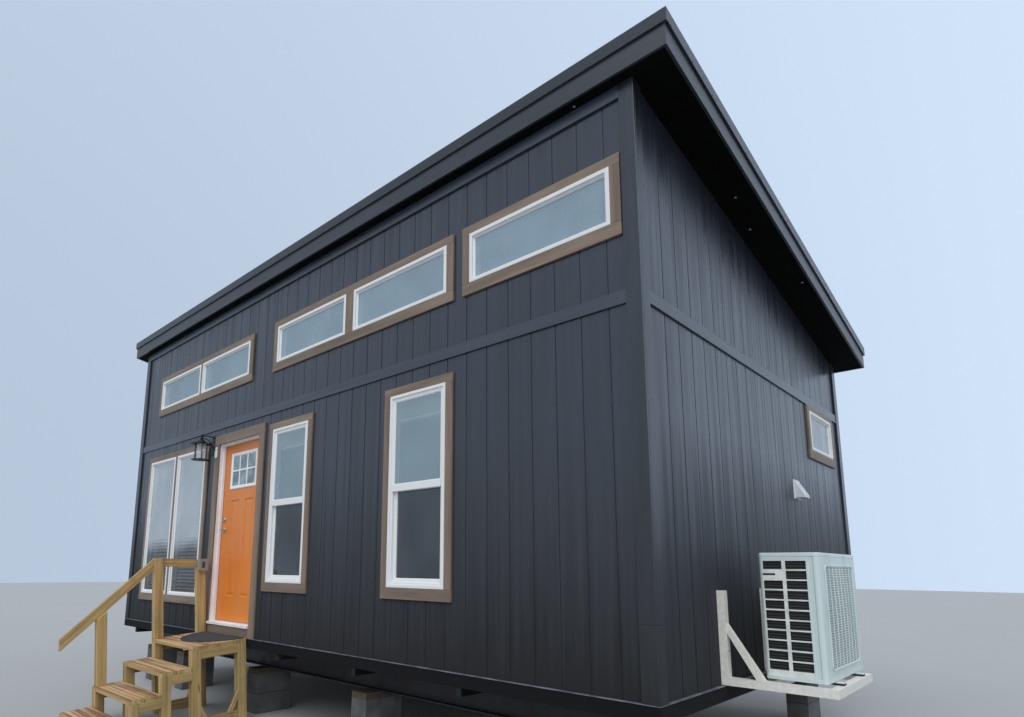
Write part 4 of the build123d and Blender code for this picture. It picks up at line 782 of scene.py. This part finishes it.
# The arm rises over the hood from its neck to the plate, and the scroll
# swings down from the cap to the plate's foot.
plate_y, plate_x, plate_half, plate_low = south - 0.014, lamp_x + 0.012, 0.052, 2.845
t = np.linspace(0, 1, 20)
arm = np.stack([lamp_x + 0.017 * t, lamp_y + (plate_y - lamp_y) * t,
                lamp_top - 0.022 + 0.012 * np.sin(t * np.pi) - 0.006 * t], -1)
bow = np.interp(t, (0, 0.3, 0.55, 0.75, 1.0), range(5))
reach = np.interp(bow, range(5), (0.010, 0.050, 0.090, 0.118, 0.146))
drop = np.interp(bow, range(5), (0.046, 0.048, 0.070, 0.118, 0.160))
scroll = np.stack([lamp_x + 0.017 * t, lamp_y + reach, lamp_top - drop], -1)
for _ in range(3):
    scroll[1:-1] = (scroll[:-2] + 2 * scroll[1:-1] + scroll[2:]) / 4
lamp_parts += [tube(arm, 0.0055, 0.0055, (1, 0, 0), 10), tube(scroll, 0.0045, 0.0045, (1, 0, 0), 10),
               block((plate_x - plate_half, plate_x + plate_half), (plate_y, south - 0.0005),
                     (plate_low, lamp_top), 2, 0.006)]
# Black powder coat, half gloss, with an orange-peel face of 2 mm.
put("wall_lantern", lamp_parts, finish(
    "black_powder_coat", {"peel": (500, 4)}, "#050506", "#0c0c0e", [("peel", 0.3, 0.7, 0.40, 0.54)],
    0.0003, {"Specular IOR Level": 0.3}), ("lantern",))

# The chimney is clear seeded glass, pale where the light comes through, with
# seeds 15 mm apart.
top = brim_z - base_z - 0.008
chimney = [(0.058, 0.0), (0.062, 0.004), (0.062, top), (0.059, top), (0.059, 0.006), (0.004, 0.006)]
put("lantern_chimney", [turned(chimney, (lamp_x, lamp_y, base_z + 0.006), steps=32)],
    finish("clear_seeded_glass", {"seeds": (60, 4)}, "#d3dce0", "#eef3f5", 0.08, 0.0006,
           {"Alpha": 0.24, "IOR": 1.5}), ("lantern_glass",))
# Frosted bulb, standing in its holder.
bulb = [(0.004, 0.006), (0.013, 0.008), (0.013, 0.034), (0.022, 0.054), (0.028, 0.076), (0.026, 0.098),
        (0.015, 0.114), (0.003, 0.120)]
put("lantern_bulb", [turned(bulb, (lamp_x, lamp_y, base_z))],
    finish("frosted_bulb_glass", {"frost": (300, 4)}, "#e8e6df", "#f2f1ec", 0.4, 0.0001),
    smooth=True)

# A small white device beside the door: a round eye over a plain body, both
# of moulded plastic with a fine spark-eroded face of 2.5 mm.
low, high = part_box("wall_plate")
eye_high, eye_round = 0.040, 0.019
put("entry_device", [
    block((low.x, high.x), (low.y, high.y), (low.z, high.z - eye_high), 2, 0.005),
    turned([(0.004, 0.0), (eye_round, 0.0), (eye_round, -0.009), (0.014, -0.012), (0.004, -0.012)],
           ((low.x + high.x) / 2, high.y, high.z - eye_round), 1, 24)],
    finish("white_moulded_plastic", {"sparked": (400, 4)}, "#dcdddc", "#e8e9e8", 0.35, 0.0001),
    ("wall_plate",))


# Vent on the end wall: a moulded white plastic hood, wedge-shaped and open
# underneath, on a flat flange. Its plastic is satin and has gathered dust in
# patches 80 mm wide.
coat(finish("white_vent_plastic", {"dusty": (12, 5)}, "#dde1e5", [("dusty", 0.45, 0.75, "#b9bcbd")], 0.45,
            0.0004), "vent_hood")


# Condenser: a folded sheet-steel cabinet in pale powder coat, with rounded
# corners, a pressed lid and base pan, a wire guard over the fan on its front
# and a plastic grid over the coil at its side.
# The coat is a pale blue-green, satin, with a peel of 3 mm, and dust has
# settled in patches 0.2 m wide and 0.5 m high.
cabinet_paint = finish("pale_powder_coat", {"peel": (350, 4), "dust": ((5, 5, 2), 6)}, "#cddddd",
                       [("dust", 0.48, 0.78, "#b7c6c5")], 0.34, 0.00015)
cab_low, cab_high = np.array(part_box("condenser_cabinet"))
cab_middle, cab_half = (cab_low + cab_high) / 2, (cab_high - cab_low) / 2
arc_steps = 7


def rounded(half_x, half_y, radius):
    """Outline of a rounded rectangle: four quarter circles, one at each
    corner, joined by the straight sides, going round against the clock."""
    angle = (np.arange(4)[:, None] * np.pi / 2 + np.linspace(0, np.pi / 2, arc_steps)).ravel()
    sx, sy = np.repeat((1, -1, -1, 1), arc_steps), np.repeat((1, 1, -1, -1), arc_steps)
    return np.stack([sx * (half_x - radius) + radius * np.cos(angle),
                     sy * (half_y - radius) + radius * np.sin(angle)], -1)


def stacked(levels, half_x, half_y, radius):
    """Rings of a rounded rectangle, each drawn in by its own inset and set
    at its own height."""
    return np.stack([np.column_stack([rounded(half_x - inset, half_y - inset, max(radius - inset, 0.0005)),
                                      np.full(4 * arc_steps, height)]) for inset, height in levels])


cab_round, sheet, lid_low, pan_top = 0.026, 0.0015, cab_high[2] - 0.024, cab_low[2] + 0.022
lid = [(0.004, lid_low - 0.004), (0.0, lid_low), (0.0, cab_high[2] - 0.008), (0.0015, cab_high[2] - 0.003),
       (0.006, cab_high[2] - 0.0006), (0.030, cab_high[2])]
pan = [(0.004, cab_low[2]), (0.0, cab_low[2] + 0.002), (0.0, pan_top), (0.004, pan_top + 0.001)]
cab_parts = [skinned(stacked(levels, cab_half[0], cab_half[1], cab_round) + (*cab_middle[:2], 0))
             for levels in (lid, pan)]

# The skin is one sheet round all four sides. Its outline runs along the
# coil side first, and s is the distance along it. Two columns of eleven
# openings show the coil, one of them closed by a plate with a hand grip.
skin = np.roll(rounded(cab_half[0] - sheet, cab_half[1] - sheet, cab_round - sheet), -2 * arc_steps, 0)
skin = np.concatenate([skin, skin[:1]])
skin_s = np.concatenate([[0], np.cumsum(np.linalg.norm(np.diff(skin, axis=0), axis=1))])
coil_start = skin_s[arc_steps - 1] - cab_half[0] - skin[arc_steps - 1, 0]
coil_left, coil_right = coil_start + np.array((0.028, 0.160)), coil_start + np.array((0.139, 0.277))
crease = coil_start + np.array((0.287, 0.291, 0.3125, 0.314, 0.3165, 0.318))
rows, row_open, grip_row = 0.9335 + 0.061 * np.arange(11), 0.052, 9
grip = (coil_left[0] - 0.006, coil_left[0] + 0.070, rows[grip_row] + 0.024, rows[grip_row] + 0.036)
guard_y, guard_z, guard_lap = np.array((-0.597, 0.083)), np.array((0.938, 1.572)), 0.010
fan_side = [2 * arc_steps - 1, 2 * arc_steps]
mouth_s = np.interp(guard_y + (guard_lap, -guard_lap), cab_middle[1] + skin[fan_side, 1], skin_s[fan_side])
mouth_z = guard_z + (guard_lap, -guard_lap)
s_lines = grid_lines(skin_s, coil_left, coil_right, crease, grip[:2], mouth_s)
z_lines = grid_lines((pan_top, lid_low), rows, rows + row_open, grip[2:], mouth_z)
outline = np.stack([np.interp(s_lines, skin_s, skin[:, k]) for k in (0, 1)], -1)
tangent = np.gradient(outline, s_lines, axis=0)
normal = np.stack([tangent[:, 1], -tangent[:, 0]], -1)
normal = normal / np.linalg.norm(normal, axis=1)[:, None]
sunk = np.interp(s_lines, crease, (0, 0.0025, 0.0025, 0.007, 0.007, 0))
openings = [(a, b, low, low + row_open) for column, (a, b) in enumerate(zip(coil_left, coil_right))
            for row, low in enumerate(rows) if (column, row) != (0, grip_row)]


def skin_sheet(inset):
    """The skin's points for every s and height, moved in by an inset and by
    the depth of the creases."""
    flat = outline - normal * (inset + sunk)[:, None] + cab_middle[:2]
    return np.concatenate([np.repeat(flat[:, None], len(z_lines), 1),
                           np.broadcast_to(z_lines[None, :, None], (len(s_lines), len(z_lines), 1))], 2)


cab_parts.append(cut_sheet(skin_sheet(0.0), skin_sheet(0.006),
                           open_cells(s_lines, z_lines, openings + [grip, (*mouth_s, *mouth_z)]))[0])
# The bars between the openings are a grid of white plastic, snapped in:
# polypropylene, off-white and satin, soiled in patches 60 mm wide.
grid_mid, grid_half = 0.1525, (0.129, 0.012, 0.350)
cab_faces = np.concatenate([np.stack([p[list(face)].mean(0) for face in f]) for p, f in cab_parts])
in_grid = np.abs(cab_faces - (cab_low[0] + grid_mid, cab_low[1], rows.mean())) < grid_half
grid_plastic = finish("white_grid_plastic", {"soiled": (16, 5)}, "#e6ebea",
                      [("soiled", 0.4, 0.7, "#ccd3d1")], 0.4, 0.0003)
put("condenser_body", cab_parts, [cabinet_paint, grid_plastic], ("condenser_cabinet",), kinds=in_grid.all(1))

# Fan guard: a wire grid 15 mm square, welded behind eight upright ribs and
# held in a pressed frame with rounded corners. It bows out a little.
frame_wide, rib_wide, wire, bays, cells, grid_rows = 0.012, 0.009, 0.0042, 8, 5, 40
guard_half = np.array((np.diff(guard_y), np.diff(guard_z))).ravel() / 2
guard_mid = (guard_y.mean(), guard_z.mean())
rim = stacked([(0.0, 0.0), (0.0, 0.004), (0.002, 0.007), (0.009, 0.007), (0.012, 0.004), (0.012, 0.0)],
              guard_half[1], guard_half[0], 0.036)[..., [2, 1, 0]] + (cab_high[0] - 0.001, *guard_mid)
bay = (2 * guard_half[0] - 2 * frame_wide) / bays
cell = (bay - rib_wide) / cells
bay_starts = guard_y[0] + frame_wide + bay * np.arange(bays)
hole_y = (bay_starts[:, None] + rib_wide + cell * np.arange(cells)).ravel()
ys = np.sort(np.concatenate([hole_y, hole_y + cell - wire, guard_y + (frame_wide, -frame_wide)]))
grid_step = (2 * guard_half[1] - 2 * frame_wide) / grid_rows
hole_z = guard_z[0] + frame_wide + grid_step * np.arange(grid_rows) + wire / 2
zs = np.sort(np.concatenate([hole_z, hole_z + grid_step - wire, guard_z + (frame_wide, -frame_wide)]))
on_rib = np.abs((ys[:, None] - bay_starts[None, :] - rib_wide / 2)).min(1) < rib_wide * 0.8
bow = 0.006 * np.sin(np.pi * np.linspace(0, 1, len(zs)))[None, :] \
    * np.sin(np.pi * (ys - ys[0]) / (ys[-1] - ys[0]))[:, None]
face_x = cab_high[0] + 0.0015 + bow + 0.003 * on_rib[:, None]
gy, gz = np.meshgrid(ys, zs, indexing="ij")
keep = np.ones((len(ys) - 1, len(zs) - 1), bool)
keep[1::2, 1::2] = False
guard = cut_sheet(np.stack([face_x, gy, gz], -1), np.stack([face_x - 0.0012, gy, gz], -1), keep)[0]
put("fan_guard", [guard, skinned(rim, capped=False)], cabinet_paint, ("condenser_fan_guard",))

# Behind it a steel shroud with a round mouth, and a moulded fan of three
# swept blades on a hub. The shroud is hot-dip galvanised, dull, with a
# spangle 8 mm wide.
mouth = 0.255
fan_centre = np.array((cab_high[0] - 0.078, *guard_mid))
angle = np.linspace(0, 2 * np.pi, 49)
circle = np.stack([np.cos(angle), np.sin(angle)], -1)
rings = [(0.052, circle / np.abs(circle).max(1)[:, None] * guard_half), (0.052, circle * mouth * 1.06),
         (0.045, circle * mouth * 1.02), (0.030, circle * mouth), (0.0, circle * mouth)]
shroud = np.stack([np.column_stack([np.full(len(angle), x), ring]) for x, ring in rings]) + fan_centre
inside = shroud - (0.0015, 0, 0)
inside[2:] = (shroud[2:] - fan_centre) * (1, 1.006, 1.006) + fan_centre
put("fan_shroud", [cut_sheet(shroud, inside, np.ones((len(rings) - 1, len(angle) - 1), bool))[0]],
    finish("galvanised_shroud", {"spangle": ("TexVoronoi", 120)}, "#43494b", "#5f6668", 0.45, 0.0001,
           {"Metallic": 0.6}))

# Fan: glass-filled polypropylene, dark grey and matt, with a 3 mm flow
# pattern. Each blade sweeps back as it goes out from the hub.
blade_r, blade_t = np.linspace(0.055, mouth - 0.008, 12)[:, None], np.linspace(-0.5, 0.5, 12)[None, :]
blades = []
for k in range(3):
    turn = 2 * np.pi * k / 3 + blade_t * 1.75 + 0.9 * (blade_r / mouth) ** 2
    reach = blade_t * (0.075 - 0.02 * blade_r / mouth)
    front = np.stack([reach + 0 * blade_r, blade_r * np.cos(turn), blade_r * np.sin(turn)], -1) + fan_centre
    blades.append(cut_sheet(front, front - (0.003, 0, 0), np.ones((11, 11), bool))[0])
blades.append(turned([(0.010, -0.045), (0.060, -0.045), (0.062, 0.030), (0.050, 0.042), (0.010, 0.046)],
                     fan_centre, 0, 32))
put("fan_wheel", blades, finish("grey_fan_plastic", {"flow": (300, 4)}, "#25282a", "#34383a", 0.45,
                                0.00015))

# Aluminium fins on the coil, coloured near black with lighter stripes for
# the fins: the dark between the stripes is painted shade between the fins.
# Real fins are 1.6 mm apart. Here they are drawn 17 mm apart, because finer
# ones would not show.
coil_metal, tree, where = start("finned_aluminium_coil")
fins = add(tree, "TexWave", {"Vector": where, "Scale": 18.0}, bands_direction="Z")
surface(tree, layered(tree, "#1a1a1a", [(fins, 0, 1, "#3d3c3a")]), 0.5, fins, 0.002, also={"Metallic": 0.5})
coat(coil_metal, "condenser_coil")

# It stands on two folded channels with black pads under their ends, of
# ozone-aged rubber: quite matt, with a bloom in 4 mm grains.
feet_low, feet_high = np.array(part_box("condenser_feet"))
foot_wide, pad_long, pad_past, pad_z = 0.050, 0.085, 0.006, (feet_low[2], feet_low[2] + 0.011)
foot_ys = (feet_low[1], feet_high[1] - foot_wide)
put("condenser_channels", [block((feet_low[0], feet_high[0]), (y, y + foot_wide), (pad_z[1], feet_high[2]), 0,
                                 0.0015) for y in foot_ys], cabinet_paint, ("condenser_feet",))
put("rubber_pads", [block((x, x + pad_long), (y - pad_past, y + foot_wide + pad_past), pad_z, 0, 0.003)
                    for y in foot_ys for x in (feet_low[0], feet_high[0] - pad_long)],
    finish("black_rubber_pad", {"bloom": (250, 4)}, "#0a0a0b", "#18191a", 0.8, 0.0004))

# Bracket: square steel tube, welded, under thick off-white enamel that was
# brushed on. Brush marks lie 25 mm apart, and it has chipped to rust in
# spots under 10 mm.
coat(finish("off_white_enamel", {"brushed": (40, 4), "chips": (24, 8)}, "#efede7",
            [("brushed", 0.35, 0.7, "#dfddd4"), ("chips", 0.70, 0.735, "#7b5e48")], 0.38, 0.0005),
     "condenser_bracket")


# Entry stair: pressure-treated pine lumber, bolted together, weathered to a
# dull straw colour. It has settled, so the whole stair leans to the front.
lean, level_z, ground_gap = np.radians(4.5), 0.808, 0.0002
stair_x, post, thick = (east - 5.486, east - 4.481), 0.089, 0.038


def stick(x, corners, ease, across=False):
    """A stair board from a four-cornered outline: u runs out from the wall,
    negative to the front, and w is up, both turned by the lean about the
    wall line. It lies across the stair, or else runs from the outline's
    first two corners to its last two. No corner goes below the ground."""
    u, w = np.array(corners, float).T
    near = np.stack([np.full(4, x[0]), south + u * np.cos(lean) - w * np.sin(lean),
                     np.maximum(level_z + u * np.sin(lean) + w * np.cos(lean), ground_gap)], -1)
    far = near + (x[1] - x[0], 0, 0)
    return board([near, far] if across else [[near[0], near[1], far[1], far[0]],
                                             [near[3], near[2], far[2], far[3]]], ease)


def upright(u, low, high):
    """Outline of a post: its foot first, then its top."""
    return [(u[0], low), (u[1], low), (u[1], high), (u[0], high)]


# Southern pine, pressure-treated and weathered: matt straw yellow, with
# fibres 7 mm wide and 0.6 m long, growth bands 40 mm wide and a knot every
# 0.4 m. Feet have worn the tops of the treads to red-brown and tan streaks.
pine, tree, where = start("weathered_treated_pine")
grain = add(tree, "UVMap", uv_map="grain")
fibres, bands = [add(tree, "TexNoise", {"Vector": add(tree, "Mapping", {"Vector": grain, "Scale": scale}),
                                        "Scale": 1.0, "Detail": detail, "Distortion": 0.3})
                 for scale, detail in (((1.6, 150, 1), 6.0), ((0.7, 26, 1), 5.0))]
knots = add(tree, "TexVoronoi", {"Vector": add(tree, "Mapping", {"Vector": grain, "Scale": (2.6, 11, 1)}),
                                 "Scale": 1.0})
stain = add(tree, "TexNoise", {"Vector": where, "Scale": 3.5, "Detail": 6.0})
upward = add(tree, "SeparateXYZ", {0: add(tree, "NewGeometry").outputs["Normal"]}).outputs[2]
trodden = add(tree, "Math", {0: add(tree, "MapRange", enumerate((upward, 0.80, 0.97))),
                             1: add(tree, "MapRange", enumerate((stain, 0.36, 0.62, 0.45, 0.95)))},
              operation="MULTIPLY")
streaks = layered(tree, "#744731", [(bands, 0.42, 0.58, "#cfab85")])
tone = layered(tree, "#a38755", [
    (bands, 0.36, 0.66, "#d0b47c"), (fibres, 0.5, 0.72, "#6b5431", 0, 0.6),
    (knots, 0.03, 0.10, "#4c3620", 0.85, 0), (stain, 0.52, 0.76, "#756a58", 0, 0.55),
    (trodden, 0, 1, streaks)])
surface(tree, tone, add(tree, "MapRange", enumerate((fibres, 0.3, 0.7, 0.55, 0.75))), fibres, 0.0011)

plank, plank_gap, tread_gap, landing, going, rise = 0.138, 0.002, 0.006, 0.587, 0.287, 0.190
treads = [(-landing - going * (k + 1), -rise * (k + 1)) for k in range(3)]
spots = [(-landing + k * (plank + plank_gap), 0.0) for k in range(4)]
spots += [(front + k * (plank + tread_gap), top) for front, top in treads for k in range(2)]
put("stair_deck", [stick(stair_x, upright((u, u + plank), top - thick, top), 0.004, across=True)
                   for u, top in spots], pine, ("stair_planks",))

back_gap, first_u = 0.030, (-landing, -landing + post)
rear_u = (-back_gap - post, -back_gap)
leg_sides = ((stair_x[0], stair_x[0] + post), (stair_x[1] - post, stair_x[1]))


def ground(u):
    """Where the leaning stair meets the level ground: a leg is cut off there."""
    return -(level_z + u * np.sin(lean)) / np.cos(lean)


put("stair_posts", [stick(x, [(a, ground(a)), (b, ground(b)), (b, top), (a, top)], 0.004)
                    for x in leg_sides for (a, b), top in [(first_u, -thick), (rear_u, -thick)]
                    + [((front, front + post), top - thick) for front, top in treads]], pine, ("stair_legs",))

apron_sides = ((stair_x[0], stair_x[0] + thick), (stair_x[1] - thick, stair_x[1]))
levels = [(first_u[1], rear_u[0], -thick)]
levels += [(front + post, behind, top - thick) for (front, top), behind in
           zip(treads, [-landing] + [front for front, _ in treads])]
aprons = [stick(x, [(a, z), (a, z - post), (b, z - post), (b, z)], 0.003)
          for x in apron_sides for a, b, z in levels]
under = level_z - (trim_thick + thick) * np.tan(lean) - thick / np.cos(lean)
aprons.append(block((stair_x[0] + post, stair_x[1] - post), (south - trim_thick - thick, south - trim_thick),
                    (under - post, under), 0, 0.003))
put("stair_rails_and_ledger", aprons, pine, ("stair_aprons",))

# A stretcher low on each side, with a short raking brace at either end.
stretcher, stretcher_low, brace_wide = -0.687, -0.887, 0.042
braces = []
for x in apron_sides:
    braces.append(stick(x, [(first_u[1], stretcher), (first_u[1], stretcher_low), (rear_u[0], stretcher_low),
                            (rear_u[0], stretcher)], 0.003))
    for u, out, up in ((first_u[1], 0.060, 0.125), (rear_u[0], -0.104, 0.190)):
        inner = out - np.sign(out) * brace_wide
        braces.append(stick(x, [(u, stretcher + up * abs(inner / out)), (u, stretcher + up),
                                (u + out, stretcher), (u + inner, stretcher)], 0.003))
put("stair_corner_braces", braces, pine, ("stair_braces",))

post_top, rear_top, fall, rail_deep, end_u, third_u = 0.850, 0.815, 0.819, 0.115, -1.469, (-1.143, -1.054)


def rail_under(u):
    """Lower edge of the sloping rail: a straight fall from the first post."""
    return post_top - fall * (first_u[0] - u) - rail_deep


put("rail_posts", [stick(leg_sides[0], corners, 0.004) for corners in (
    upright(first_u, 0, post_top), upright(rear_u, 0, rear_top),
    [(third_u[0], treads[1][1]), (third_u[1], treads[1][1]), (third_u[1], rail_under(third_u[1])),
     (third_u[0], rail_under(third_u[0]))])], pine, ("handrail_posts",))
rail_x = (stair_x[0] + (post - thick) / 2, stair_x[0] + (post + thick) / 2)
put("hand_rails", [stick(rail_x, corners, 0.005) for corners in (
    [(first_u[1], post_top), (first_u[1], post_top - post), (rear_u[0], rear_top - post),
     (rear_u[0], rear_top)],
    [(first_u[0], post_top), (first_u[0], post_top - rail_deep), (end_u, rail_under(end_u)),
     (end_u, rail_under(end_u) + rail_deep)])], pine, ("handrails",))

# Mat: needle-punched carpet on rubber, dark grey, in ribs 14 mm apart with
# a fluff of 2.5 mm.
mat_pile, tree, where = start("ribbed_entrance_mat")
ribs = add(tree, "TexWave", {"Vector": where, "Scale": 22.0, "Distortion": 1.0}, bands_direction="Y")
fluff = add(tree, "TexNoise", {"Vector": where, "Scale": 400.0, "Detail": 4.0})
surface(tree, layered(tree, "#26272c", [(fluff, 0.3, 0.7, "#484a4f")]), 0.9,
        add(tree, "Math", {0: ribs, 1: fluff}), 0.003)
coat(mat_pile, "door_mat")

# Outlet box on the rear post: a cast housing in grey baked paint, with a
# pitted face of 5 mm, a cover plate, and a dark double socket that stands a
# little out of it.
box_low, box_high = np.array(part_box("outlet_box"))
cover, cover_in, socket_out, socket_y, socket_z = 0.006, 0.005, 0.003, *(box_low + box_high)[1:] / 2
cover_x, socket_wide, socket_tall = box_high[0] - socket_out, 0.017, 0.035
put("outlet_housing", [
    block((box_low[0], cover_x - cover), (box_low[1] + cover_in, box_high[1] - cover_in),
          (box_low[2] + cover_in, box_high[2] - cover_in), 2, 0.006),
    block((cover_x - cover, cover_x), (box_low[1], box_high[1]), (box_low[2], box_high[2]), 2, 0.0025)],
    finish("grey_cast_housing", {"pitted": (200, 4)}, "#888d91", "#a0a4a8", 0.5, 0.0003,
           {"Metallic": 0.2}), ("outlet_box",))
# Phenolic sockets, nearly black, half gloss, speckled at 3 mm.
put("outlet_sockets", [
    block((cover_x - 0.001, cover_x + 0.0015), (socket_y - socket_wide, socket_y + socket_wide),
          (socket_z - socket_tall, socket_z + socket_tall), 2, 0.001),
    *[turned([(0.003, 0.001), (0.014, 0.001), (0.014, 0.002), (0.012, socket_out), (0.003, socket_out)],
             (cover_x, socket_y, socket_z + z), 0, 24) for z in (-0.018, 0.018)]],
    finish("dark_phenolic_socket", {"specks": (330, 4)}, "#3c3e40", "#505254", 0.4, 0.0001))


# Below the floor: a painted steel frame on stacked concrete blocks with
# wooden caps, floor joists, and the strand-board floor on top of them.
# Cast concrete, dry and rough: pores 6 mm wide, clouded over 0.2 m, with a
# joint every 203 mm up the stack.
concrete, tree, where = start("cast_concrete_block")
pores = add(tree, "TexNoise", {"Vector": where, "Scale": 160.0, "Detail": 8.0})
cloudy = add(tree, "TexNoise", {"Vector": where, "Scale": 5.0, "Detail": 5.0})
upended = add(tree, "Mapping", {"Vector": where, "Rotation": (np.pi / 2, 0, 0)})
courses = add(tree, "TexBrick", {"Vector": upended, "Scale": 1.0, "Mortar Size": 0.004, "Mortar Smooth": 0.2,
                                 "Brick Width": 30.0, "Row Height": 0.2032})
surface(tree, layered(tree, "#4f5153", [(cloudy, 0.35, 0.68, "#6c6e6f"),
                                        (courses.outputs["Fac"], 0, 1, "#3c3d3e")]), 0.92, pores, 0.002)
coat(concrete, "block_piers")
# Sawn spruce, dark brown and matt, with saw marks and fibres 17 mm wide.
coat(finish("damp_sawn_spruce", {"fibre": ((60, 3, 60), 6)}, "#443828",
            [("fibre", 0.34, 0.68, "#635540")], 0.8, 0.001), "pier_caps", "floor_joists", "floor_rim")
# Oriented strand board: pressed chips, 25 to 70 mm long, in straw tones.
coat(finish("oriented_strand_floor", {"chips": ("TexVoronoi", (14, 40, 20))}, "#7b6442", "#a68f68", 0.75,
            0.001), "floor_deck")
# Hot-rolled steel under black chassis paint, half gloss, that has let rust
# through in patches 0.1 m wide, where it turns matt.
coat(finish("black_chassis_paint", {"rust": (9, 8)}, "#171b20", [("rust", 0.55, 0.72, "#46322a")],
            [("rust", 0.5, 0.72, 0.45, 0.85)], 0.0008, {"Metallic": 0.2}), "main_rails", "cross_members")
